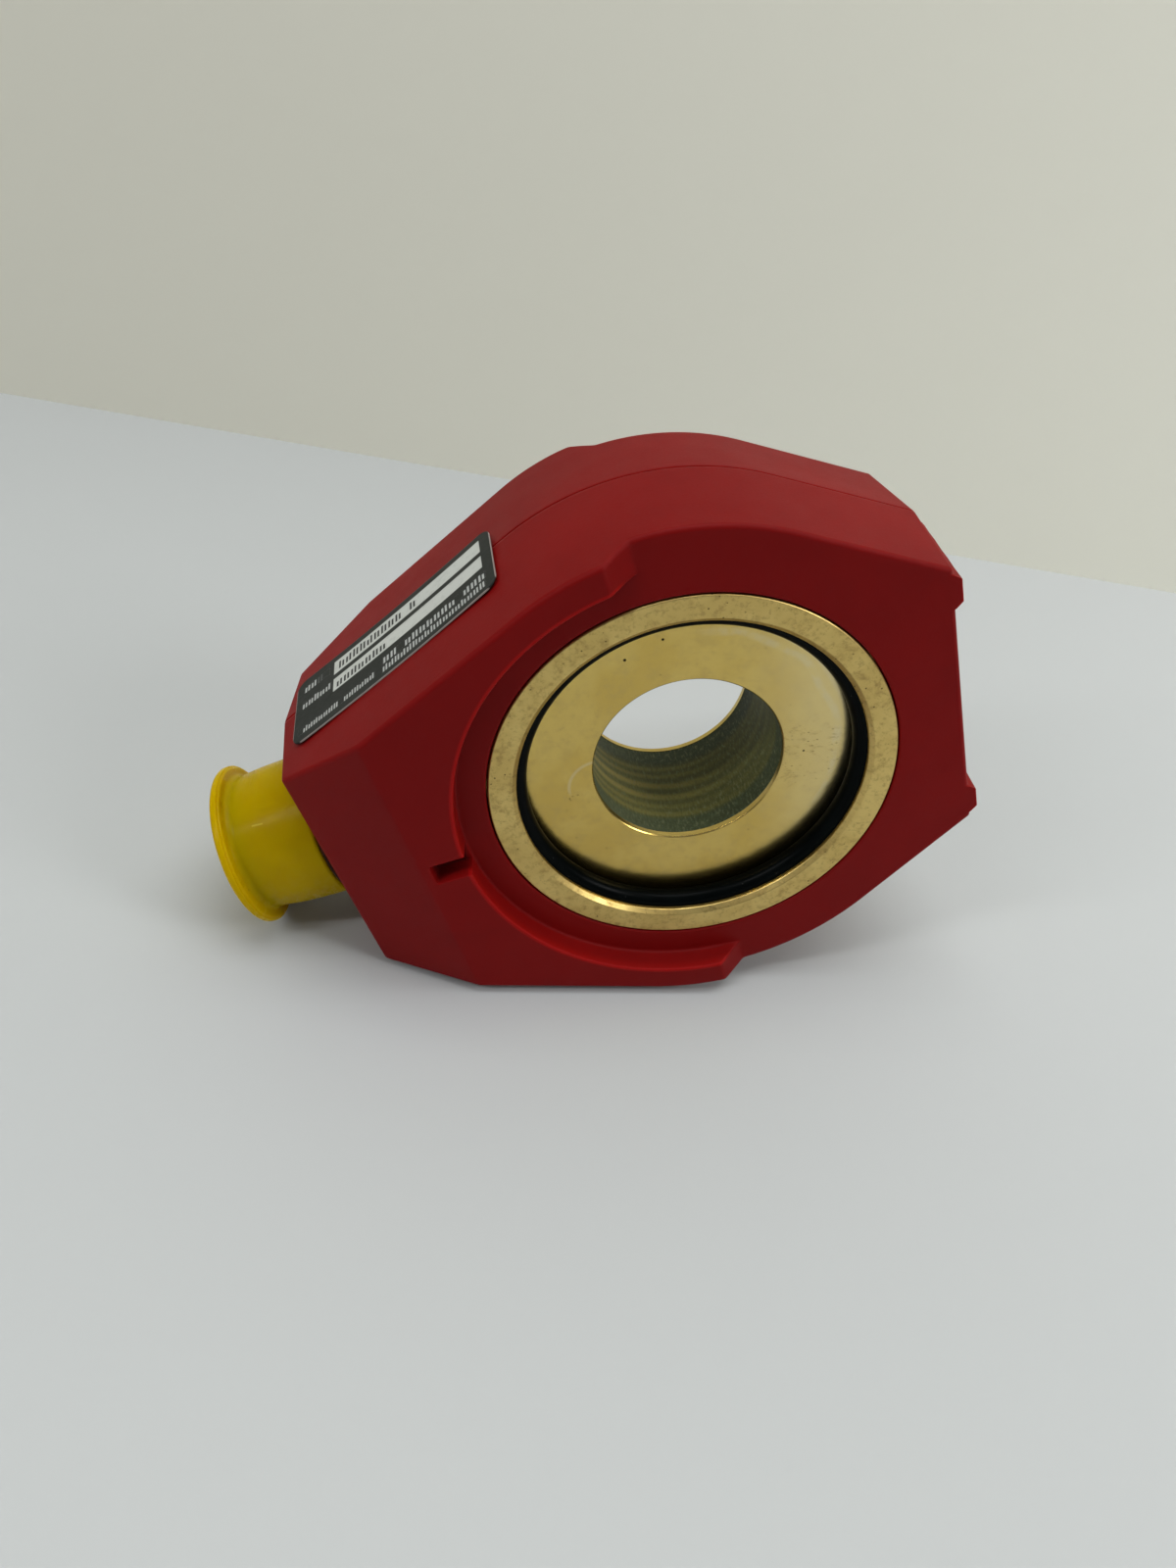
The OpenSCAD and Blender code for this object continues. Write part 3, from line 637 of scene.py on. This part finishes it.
def makePlateBrass():
    # Pale tide marks lie near the plate's edge, two deep pits above the bore, and a third
    # pit, a faint arc and small pits beside it
    bright, warm, dull = (0.665, 0.487, 0.14, 1), (0.61, 0.43, 0.11, 1), (0.52, 0.38, 0.13, 1)
    f, base = makeBrass("end plate brass", bright, warm, dull, 0.23, 0.1, 0.12)
    spot = f.place()
    x, _, z = f.inMm(spot)

    def apart(px, pz):
        return ((x - px) * (x - px) + (z - pz) * (z - pz)) ** 0.5

    radius = apart(0.0, 0.0)
    wander = f.noise(spot, 90, 2) * 3 - 1.5
    tide = (radius + wander - 24.8).size().over(0.9, 0.2) * (x + z * 0.8).over(14, 22)
    tide = tide * f.noise(spot, 260, 4).over(0.35, 0.55)
    near = (radius + wander * 0.4 - 27.0).size().over(1.0, 0.3) * (x + z).over(10, 24)
    arc = (apart(-14.2, -5.6) - 5.05).size().over(0.4, 0.1) * x.over(-14.6, -16.0) * z.over(-8.4, -6.4)
    small = dotMask(f, f.place(scale=(1, 1, 2.2), turn=(0, 0.6, 0)), 950, 0.24, 0.4)
    small = small * apart(-17.8, -9.2).over(3.2, 1.4).upper(apart(22.0, 3.0).over(9.0, 4.0))
    holes = 0.0
    for px, pz, outer, inner in cartridge["pits"]:
        holes = apart(px, pz).over(outer, inner) + holes
    base = f.blend(f.noise(spot, 420, 6, 0.65).over(0.45, 0.7) * 0.4, base, (0.5, 0.37, 0.13, 1))
    # Painted light: the plate is painted paler towards +x, its brighter lit side
    base = f.blend((x + z * 0.3).over(8, 27) * 0.6, base, (0.8, 0.67, 0.35, 1))
    base = f.blend(tide.upper(near).upper(arc) * 0.3, base, (0.7, 0.66, 0.48, 1))
    streaks = f.noise(f.place(scale=(560, 560, 1100), turn=(0, 0.9, 0)), 1, 5, 0.7).over(0.53, 0.67)
    base = f.blend(streaks * apart(19.5, 3.0).over(9.0, 5.0) * 0.4, base, (0.32, 0.22, 0.08, 1))
    base = f.blend(small * 0.75, base, (0.16, 0.11, 0.04, 1))
    f.feed("Base Color", f.blend(holes, base, (0.02, 0.015, 0.008, 1)))
    return f


def makeRubber(name, tint):
    # Dark rubber in two shades of a tint, with a few specks of dust
    f = Finish(name, {"Specular IOR Level": 0.04})
    spot = f.place()
    cloud, fine = f.noise(spot, 240, 3), f.noise(spot, 3000, 2)
    dust = dotMask(f, spot, 1300, 0.16, 0.08)
    base = f.blend(cloud.over(0.3, 0.8), tint, tuple(part * 1.7 for part in tint[:3]) + (1,))
    f.feed("Base Color", f.blend(dust * 0.2, base, (0.2, 0.2, 0.19, 1)))
    f.feed("Roughness", 0.24 + 0.14 * cloud + 0.15 * dust)
    f.feed("Normal", f.bump(fine, 0.00002, None, 0.4))
    return f


def makeTubeFinish():
    # Six windings show through the wall as olive bands of (middle, half width, strength), the two middle
    # ones strongest. The wall is painted paler towards -x and darker towards +x, as painted light and
    # shade of the bore's lit and shaded sides, and the bands fade towards +x.
    f = Finish("glass fibre wall", {"Specular IOR Level": 0.18})
    around, _ = f.surface()
    x, y, _ = f.inMm(f.place())
    left, right, depth = x.over(2, -9), x.over(3, 13), y * -1
    sway = f.noise(f.join(around * 0.06, depth * 0.15), 1, 2) * 0.5 - 0.25
    bands = 0.0
    for middle, half, share in cartridge["bands"]:
        bands = (depth + sway - middle).size().over(half, half * 0.15) * share + bands
    patch = f.noise(f.join(around * 0.11, depth * 0.2), 1, 2)
    bands = bands * (1 - right * 0.6) * (0.75 + 0.35 * patch)
    weave = f.noise(f.join(around * 2.4, depth * 0.7), 1, 3, 0.6)
    cross = f.noise(f.join(around * 1.6, depth * 3.4), 1, 3, 0.6)
    cloud = f.noise(f.join(around * 0.25, depth * 0.25), 1, 3)
    wound = depth.size().over(8.8, 7.4)
    base = f.blend(cloud.over(0.3, 0.7), (0.056, 0.07, 0.03, 1), (0.068, 0.084, 0.037, 1))
    base = f.blend(wound, base, (0.104, 0.106, 0.027, 1))
    base = f.blend(bands.lower(1), base, (0.25, 0.215, 0.05, 1))
    base = f.blend((depth + 6.0).over(0, -2) * 0.5, base, (0.05, 0.062, 0.03, 1))
    # Painted light and shade: paler towards -x, darker towards +x
    base = f.blend(left, base, (1.6, 1.5, 1.6, 1), "MULTIPLY")
    base = f.blend(right, base, (0.82, 0.82, 0.8, 1), "MULTIPLY")
    base = f.blend(weave.over(0.5, 0.72) * 0.6, base, (0.2, 0.22, 0.11, 1))
    base = f.blend(weave.over(0.5, 0.3) * 0.4, base, (0.03, 0.035, 0.014, 1))
    base = f.blend(cross.over(0.55, 0.75) * (0.55 - 0.3 * wound), base, (0.15, 0.21, 0.14, 1))
    f.feed("Base Color", base)
    f.feed("Roughness", 0.5 + 0.16 * weave)
    f.feed("Normal", f.bump(weave + cross * 0.6, 0.00005, None, 0.6))
    return f


ringBrass, _ = makeBrass("guide ring brass", (0.68, 0.51, 0.18, 1), (0.6, 0.435, 0.145, 1),
                         (0.34, 0.225, 0.075, 1), 0.33, 0.6, 0.5)
plateBrass = makePlateBrass()
sealRubber = makeRubber("seal rubber", (0.0009, 0.0016, 0.0016, 1))
gasketRubber = makeRubber("gasket rubber", (0.02, 0.008, 0.004, 1))

for end, side, lip in (("front", 1, cartridge["lips"][0]), ("rear", -1, cartridge["lips"][1])):
    makeTurned(end + "_ring_turned", ringProfile(), "guide_brass", end + "_ring", ringBrass, side)
    makeTurned(end + "_plate_turned", plateProfile(lip), "plate_brass", end + "_plate", plateBrass, side)
    makeTurned(end + "_seal_moulded", sealProfile(), "seal_rubber", end + "_o_ring", sealRubber, side,
               sharp=None)
makeTurned("coil_tube_wound", tubeProfile(), "glass_fibre", "coil_tube", makeTubeFinish(),
           uv=roundUv(tubeProfile(), cartridge["boreR"]), sharp=30)
print("cartridge turned")

# Connector and dust cap, as distances from the bore axis along the connector axis

plug = dict(
    neckX=53.7, neckR=9.5, holeR=8.1, flangeX=63.3, flangeR=11.65, barrelX=64.3, barrelEnd=78.0,
    barrelR=11.5, socketR=9.8, socketX=65.7, threadX=65.2, threadEnd=76.9, threadPitch=1.0,
    threadDeep=0.42, gasketX=61.7, gasketR=12.9, capOpen=63.5, capInner=78.6, capShut=79.75,
    capInR=11.8, capOutR=12.9, capNeckR=12.05, capRimR=14.45, capRimT=1.8, capDishR=11.0, capDish=0.3,
    markX=71.3, markEnd=73.3, markY=9.4,
)


def barrelGrid(segments=256):
    # The barrel's outline is dense along the thread, a helix of trapezia cut into it that
    # runs out over 1 mm at both ends
    p = plug
    hole, neck, flange = p["holeR"], p["neckR"], p["flangeR"]
    barrel, socket, end = p["barrelR"], p["socketR"], p["barrelEnd"]
    lead = softCorners([(hole, p["neckX"]), (neck, p["neckX"]), (neck, p["flangeX"]),
                        (flange, p["flangeX"]), (flange, p["barrelX"]), (barrel, p["barrelX"])],
                       [0.1, 0.1, 0.05, 0.1, 0.1, 0.05], 3)
    mouth = softCorners([(barrel, end - 0.5), (barrel - 0.5, end), (socket + 0.3, end),
                         (socket, end - 0.3), (socket, p["socketX"]), (hole, p["socketX"])], 0.1, 3)
    lead[0], mouth[-1] = (hole, p["neckX"]), (hole, p["socketX"])
    thread = np.linspace(p["threadX"], p["threadEnd"], 150)
    profile = np.concatenate([lead, np.stack([0 * thread + barrel, thread], 1), mouth])
    radius, along = profile[:, :1], profile[:, 1:]
    angle = np.linspace(0, 2 * math.pi, segments, endpoint=False)
    turns = along / p["threadPitch"] - angle / (2 * math.pi)
    flank = np.clip(1.6 * np.abs(2 * (turns % 1) - 1) - 0.25, 0, 1)
    run = np.clip(np.minimum(along - p["threadX"], p["threadEnd"] - along), 0, 1)
    run[:len(lead)], run[-len(mouth):] = 0, 0
    radius = radius - p["threadDeep"] * flank * run
    return stand(-along, radius * np.cos(angle), radius * np.sin(angle))


def capProfile():
    # From the middle of the inner end round the mouth to the middle of the outer end. The
    # wall bulges and narrows towards the pull rim.
    p = plug
    base, mouth, shut = p["capInner"], p["capOpen"], p["capShut"]
    inner, wide, neck, rim, dish = p["capInR"], p["capOutR"], p["capNeckR"], p["capRimR"], p["capDishR"]
    rimX, low = shut - p["capRimT"], shut - p["capDish"]
    cup = [(0, base), (inner - 0.5, base), (inner, base - 0.5), (inner, mouth)]
    wall = [(wide - 0.25, mouth), (wide, mouth + 0.4), (wide - 0.08, rimX - 8.5),
            (wide - 0.28, rimX - 5), (wide - 0.6, rimX - 2.4), (neck + 0.02, rimX - 0.9)]
    pull = [(neck + 0.5, rimX), (rim - 0.5, rimX), (rim - 0.32, rimX + 0.3), (rim, rimX + 0.42),
            (rim, shut - 0.5), (rim - 0.55, shut)]
    end = [(dish + 0.4, shut), (dish, low), (1.6, low), (1.3, low + 0.2), (0, low + 0.2)]
    soft = [0.1, 0.2, 0.2, 0.15, 0.2, 0.25, 1.4, 1.2, 1.0, 0.6]
    soft += [0.4, 0.15, 0.08, 0.12, 0.4, 0.4, 0.2, 0.2, 0.15, 0.1, 0.1]
    return softCorners(cup + wall + pull + end, soft, 6, closed=False)


def makeCapPlastic():
    # The rim is painted paler than the wall, painted light that stands for light passing through it. A
    # short moulding mark lies on the wall beside the soft shine.
    p = plug
    f = Finish("cap plastic", {
        "Specular IOR Level": 0.04, "Subsurface Weight": 0.7,
        "Subsurface Radius": (1.0, 0.75, 0.02), "Subsurface Scale": 0.004,
    })
    spot = f.place()
    x, y, z = f.plan(spot)
    along, rimX = x * -1, p["capShut"] - p["capRimT"]
    cloud, fine = f.noise(spot, 110, 2), f.noise(spot, 1500, 2)
    scuff = f.noise(f.place(scale=(900, 140, 500)), 1, 3)
    dust = dotMask(f, spot, 420, 0.12, 0.06)
    base = f.blend(cloud.over(0.3, 0.7), (0.43, 0.29, 0.0002, 1), (0.4, 0.265, 0.0002, 1))
    # Painted light: the rim is painted paler, as lit through
    base = f.blend(along.over(rimX - 1.4, rimX), base, (0.46, 0.31, 0.0002, 1))
    start, end = p["markX"], p["markEnd"]
    mark = along.over(start - 0.1, start + 0.1) * along.over(end + 0.1, end - 0.1)
    mark = mark * (y - p["markY"]).size().over(0.14, 0.04) * z.over(0, 5)
    base = f.blend(mark * 0.45, base, (0.75, 0.62, 0.06, 1))
    f.feed("Base Color", f.blend(dust * 0.3, base, (0.2, 0.13, 0.03, 1)))
    f.feed("Roughness", 0.22 + 0.1 * scuff.over(0.45, 0.75) + 0.06 * cloud)
    f.feed("Normal", f.bump(fine, 0.00001, f.bump(cloud, 0.0002), 0.4))
    return f


def makeNickel():
    f = Finish("bright nickel", {"Metallic": 1.0})
    spot = f.place()
    cloud, fine = f.noise(spot, 200, 3), f.noise(spot, 2200, 3)
    f.feed("Base Color", f.blend(cloud.over(0.35, 0.7), (0.62, 0.59, 0.54, 1), (0.5, 0.47, 0.42, 1)))
    f.feed("Roughness", 0.24 + 0.12 * cloud + 0.06 * fine)
    f.feed("Normal", f.bump(fine, 0.00001, None, 0.4))
    return f


def makeConnector():
    nickel = makeNickel()
    shell = tidyMesh(gridMesh("connector_shell_threaded", barrelGrid()), 35)
    piece("connector_shell_threaded", shell, nickel, "probe", "plated_metal", "connector_shell")
    dress(cad["connector_nut"], nickel)
    inner, outer = plug["neckR"] + cartridge["gap"], plug["gasketR"]
    back, front = plug["gasketX"], plug["flangeX"]
    ring = softCorners([(inner, back), (outer, back), (outer, front), (inner, front)], 0.3, 5)
    gasket = tidyMesh(gridMesh("gasket", turnedGrid(ring, False)), 50)
    piece("connector_gasket_moulded", gasket, gasketRubber, "probe", "gasket_rubber", "connector_gasket")
    cap = tidyMesh(gridMesh("cap", turnedGrid(capProfile(), False), closedRows=False), 60)
    piece("dust_cap_moulded", cap, makeCapPlastic(), "cap", "cap_plastic", "dust_cap")


makeConnector()
print("connector and cap made")

# Type label: a stiff plate with slightly lifted ends, with local u along it and v across it

label = dict(
    halfL=21.56, halfW=8.48, middle=23.38, shift=2.84, turn=-0.83, corner=2.2, lift=0.03,
    thick=0.25, bow=0.41, fieldsU=(-19.4, 12.95), fieldsV=((-6.8, -3.2), (-1.9, 1.55)),
    rows=((12.0, 1.6, 12, -3.95, 2.3), (12.3, 1.6, 7, 1.0, 2.1), (19.8, 1.45, 4, -4.5, 1.9),
          (20.0, 1.3, 5, -0.1, 1.8), (1.9, 1.55, 14, 5.0, 1.9), (2.0, 1.27, 17, 7.2, 1.7),
          (20.5, 1.12, 15, 6.6, 1.5)),
)


def labelGrid():
    # Rounded outline carried inwards to the centre line, first under the plate and then over
    # it. It lies on the drafted flank, and its ends bow away from it by a square law.
    h = label
    size = np.array([h["halfL"], h["halfW"]])
    quarter = np.linspace(0, math.pi / 2, 9)
    arc = np.stack([np.cos(quarter), np.sin(quarter)], 1) * h["corner"]
    inner = size - h["corner"]
    run = np.linspace(-inner[0], inner[0], 60)[1:-1]
    rise = np.linspace(-inner[1], inner[1], 24)[1:-1]
    outline = np.concatenate([
        arc + inner, np.stack([run[::-1], 0 * run + size[1]], 1),
        (arc[::-1] + inner) * [-1, 1], np.stack([0 * rise - size[0], rise[::-1]], 1),
        -arc - inner, np.stack([run, 0 * run - size[1]], 1),
        (arc[::-1] + inner) * [1, -1], np.stack([0 * rise + size[0], rise], 1)])
    turn, slope = math.radians(h["turn"]), math.tan(math.radians(housing["draft"]))
    centre = np.stack([np.clip(outline[:, 0], -inner[0], inner[0]), 0 * outline[:, 0]], 1)
    top = h["thick"]
    shares = [(1, 0), (0.5, 0), (0, 0), (0, top * 0.6), (0.003, top * 0.85)]
    shares += [(share, top) for share in (0.01, 0.03, 0.25, 0.5, 0.75, 1)]
    rows, maps = [], []
    flank = math.pi / 2 + flankSlope
    out, on = np.array([[math.cos(flank), math.sin(flank)], [-math.sin(flank), math.cos(flank)]])
    for share, height in shares:
        uv = outline + (centre - outline) * share
        along = h["middle"] + uv[:, 0] * math.cos(turn) - uv[:, 1] * math.sin(turn)
        across = h["shift"] + uv[:, 0] * math.sin(turn) + uv[:, 1] * math.cos(turn)
        bow = h["bow"] * (uv[:, 0] / h["halfL"]) ** 2
        off = housing["backR"] + h["lift"] + height - slope * across + bow
        xy = off[:, None] * out + along[:, None] * on
        rows.append(stand(xy[:, 0], xy[:, 1], across))
        maps.append(uv)
    maps = np.stack(maps)
    return np.stack(rows), np.concatenate([maps, maps[:, :1]], 1)


def makeLabelFoil():
    f = Finish("label foil", {"Specular IOR Level": 0.17})
    u, v = f.surface()
    spot = f.place()

    def bar(value, low, high, soft):
        return value.over(low - soft, low + soft) * value.over(high + soft, high - soft)

    def box(low, high, under, over, soft=0.08):
        return bar(u, low, high, soft) * bar(v, under, over, soft)

    # Rows of plain upright strokes, which spell nothing. A row is the u of its start, the
    # width and the number of its pairs of strokes, the v of its foot and its height. Each
    # row counts its pairs from a new multiple of 20, so that no two rows match, and a few
    # pairs stay blank.
    across, up, inked = 0.0, 0.0, 0.0
    for number, (start, width, count, foot, tall) in enumerate(label["rows"]):
        inside = box(start - count * width, start, foot - tall, foot, 0.02)
        across = inside * ((start - u) * (1 / width) + 20 * number) + across
        up = inside * ((foot - v) * (1 / tall)) + up
        inked = inside + inked
    pair = across.maths("FLOOR", across)
    x = across - pair
    pick = f.axes(f.add("TexWhiteNoise", {"noise_dimensions": "1D"}, {"W": pair}, 1))
    strokes = bar(x, 0.1, 0.36, 0.05) * (up - pick[0] * 0.35).over(0.7, 0.65)
    strokes = strokes.upper(bar(x, 0.56, 0.82, 0.05) * (up - pick[1] * 0.35).over(0.7, 0.65))
    strokes = strokes * inked.lower(1) * pick[2].over(0.1, 0.11)
    lower, upper = (box(*label["fieldsU"], *field) for field in label["fieldsV"])
    halfL, halfW = label["halfL"], label["halfW"]
    # The pale border is partly the cut edge's own paler colour and partly a painted highlight along it
    rim = u.size().over(halfL - 0.16, halfL - 0.04).upper(v.size().over(halfW - 0.16, halfW - 0.04))
    cloud, wear = f.noise(spot, 160, 3), f.noise(spot, 900, 4)
    base = f.blend(cloud.over(0.3, 0.7), (0.011, 0.0135, 0.011, 1), (0.016, 0.018, 0.0155, 1))
    base = f.blend(strokes * 0.9, base, (0.5, 0.52, 0.5, 1))
    field = f.blend(strokes, (0.53, 0.55, 0.51, 1), (0.012, 0.013, 0.012, 1))
    base = f.blend(lower.upper(upper) * (0.9 + 0.1 * wear.over(0.7, 0.5)), base, field)
    f.feed("Base Color", f.blend(rim * 0.6, base, (0.5, 0.44, 0.4, 1)))
    f.feed("Roughness", 0.38 + 0.14 * wear)
    f.feed("Normal", f.bump(cloud, 0.00006, None, 0.5))
    return f


def makeLabel():
    grid, uv = labelGrid()
    mesh = tidyMesh(gridMesh("label", grid, closedRows=False, uv=uv), 30)
    piece("type_label_foil", mesh, makeLabelFoil(), "probe", "label_foil", "type_label")


makeLabel()
print("label laid")

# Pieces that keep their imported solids


def makePlain(name, first, second, rough, fixed, scale=300):
    # Two tints in soft clouds with a fine grain
    f = Finish(name, fixed)
    spot = f.place()
    cloud, fine = f.noise(spot, scale, 3), f.noise(spot, scale * 8, 3)
    f.feed("Base Color", f.blend(cloud.over(0.3, 0.7), (*first, 1), (*second, 1)))
    f.feed("Roughness", rough + 0.12 * cloud + 0.06 * fine)
    f.feed("Normal", f.bump(fine, 0.00002, None, 0.5))
    return f


metal, resin = {"Metallic": 1.0}, {"IOR": 1.5}
plain = {
    "spacer_sleeve": makePlain("spacer aluminium", (0.72, 0.73, 0.74), (0.6, 0.61, 0.62), 0.34, metal),
    "shield_sleeve": makePlain("shield steel", (0.5, 0.5, 0.48), (0.4, 0.4, 0.39), 0.32, metal),
    "potting": makePlain("potting resin", (0.012, 0.02, 0.022), (0.02, 0.028, 0.028), 0.35, resin),
    "circuit_board": makePlain("board laminate", (0.01, 0.075, 0.03), (0.014, 0.09, 0.036), 0.35, resin),
    "board_parts": makePlain("board parts", (0.045, 0.042, 0.04), (0.075, 0.068, 0.06), 0.45, resin),
    "connector_insert": makePlain("insulator", (0.016, 0.016, 0.017), (0.026, 0.026, 0.027), 0.42, resin),
    "connector_pins": makePlain("gilt contacts", (0.86, 0.6, 0.22), (0.78, 0.52, 0.18), 0.22, metal),
    "threaded_inserts": makePlain("insert brass", (0.62, 0.46, 0.19), (0.54, 0.4, 0.15), 0.3, metal),
    "shell_screws": makePlain("screw steel", (0.2, 0.2, 0.21), (0.27, 0.27, 0.28), 0.32, metal),
}
copper = makePlain("enamelled copper", (0.55, 0.2, 0.08), (0.62, 0.26, 0.1), 0.3, metal, 900)
insulation = makePlain("lead insulation", (0.75, 0.24, 0.02), (0.68, 0.2, 0.02), 0.45, resin)
for node, item in cad.items():
    if node in plain:
        dress(item, plain[node])
    elif node.endswith("_leads"):
        dress(item, insulation)
    elif "winding" in node:
        dress(item, copper)
for node in ("connector_insert", "shell_screws"):
    soften = cad[node].modifiers.new("soften", "BEVEL")
    soften.width, soften.segments, soften.angle_limit = 0.08 * mm, 2, math.radians(50)
print("packed solids dressed")

# Floor, backdrop and light, in metres

stage = dict(
    footLeft=(-0.195, 0.265), footRight=(0.228, 0.171), spread=6, front=-3.0, top=2.0,
    floorZ=min(cadBounds[0].z, -housing["backR"] * mm) - 0.0001, paintedLightEnd=0.3,
    floorPaintedLightStart=-0.02, floorTints=((0.486, 0.508, 0.51, 1), (0.56, 0.58, 0.585, 1)),
    wallPaintedLightStart=-0.2, wallTints=((0.7, 0.69, 0.595, 1), (0.86, 0.855, 0.745, 1)),
)
lamps = dict(
    ceiling=dict(place=(0.14, 0.2, 1.3), size=1.5, power=24),
    window=dict(place=(0.84, -0.55, 0.66), size=0.4, power=4),
    strip=dict(place=(-0.67, -0.39, 0.6), target=(-0.07, 0, 0), size=0.7, width=0.08, roll=58, power=2.3),
    fill=dict(place=(-1.0, -0.85, 0.3), target=(0, 0, 0.03), size=0.8, power=0.6, glossy=False),
)
room = dict(tint=(0.75, 0.77, 0.8, 1), strength=0.2)


def stagePlane(name, corners, rough, paintedLightStart, tints):
    # A flat surface painted paler towards +x: painted light from the brighter side of the room
    finish = Finish(name, {"Roughness": rough})
    paintedLight = finish.axes(finish.place())[0].over(paintedLightStart, stage["paintedLightEnd"])
    finish.feed("Base Color", finish.blend(paintedLight, *tints))
    mesh = bpy.data.meshes.new(name)
    mesh.from_pydata(corners, [], [(0, 1, 2, 3)])
    made = bpy.data.objects.new(name, mesh)
    bpy.context.scene.collection.objects.link(made)
    dress(made, finish)


def makeStage():
    # The wall's foot runs where the photo has it, a hand's width behind the probe
    run = np.array(stage["footRight"]) - stage["footLeft"]
    left, right = stage["footLeft"] - run * stage["spread"], stage["footRight"] + run * stage["spread"]
    low, high, front = stage["floorZ"], stage["top"], stage["front"]
    floor = [(*left, low), (left[0], front, low), (right[0], front, low), (*right, low)]
    wall = [(*left, low), (*right, low), (*right, high), (*left, high)]
    stagePlane("floor", floor, 0.6, stage["floorPaintedLightStart"], stage["floorTints"])
    stagePlane("backdrop", wall, 0.9, stage["wallPaintedLightStart"], stage["wallTints"])


def areaLamp(name, place, size, power, target=(0, 0, 0), width=None, roll=0, glossy=True):
    # A round lamp aimed at a target, or a long one turned about its aim by roll
    lamp = bpy.data.lights.new(name, "AREA")
    lamp.shape, lamp.size, lamp.energy = "ELLIPSE" if width else "DISK", size, power
    lamp.size_y = width or size
    made = bpy.data.objects.new(name, lamp)
    made.location = place
    aim = (Vector(target) - Vector(place)).to_track_quat("-Z", "Y")
    made.rotation_euler = (aim @ Quaternion((0, 0, 1), math.radians(roll))).to_euler()
    made.visible_glossy = glossy
    bpy.context.scene.collection.objects.link(made)


def makeLight():
    for name, values in lamps.items():
        areaLamp(name, **values)
    world = bpy.data.worlds.new("room")
    bpy.context.scene.world = world
    world.use_nodes = True
    sky = world.node_tree.nodes["Background"].inputs
    sky["Color"].default_value, sky["Strength"].default_value = room["tint"], room["strength"]
    bpy.context.scene.view_settings.view_transform = "Standard"


makeStage()
makeLight()
print("stage and light set")
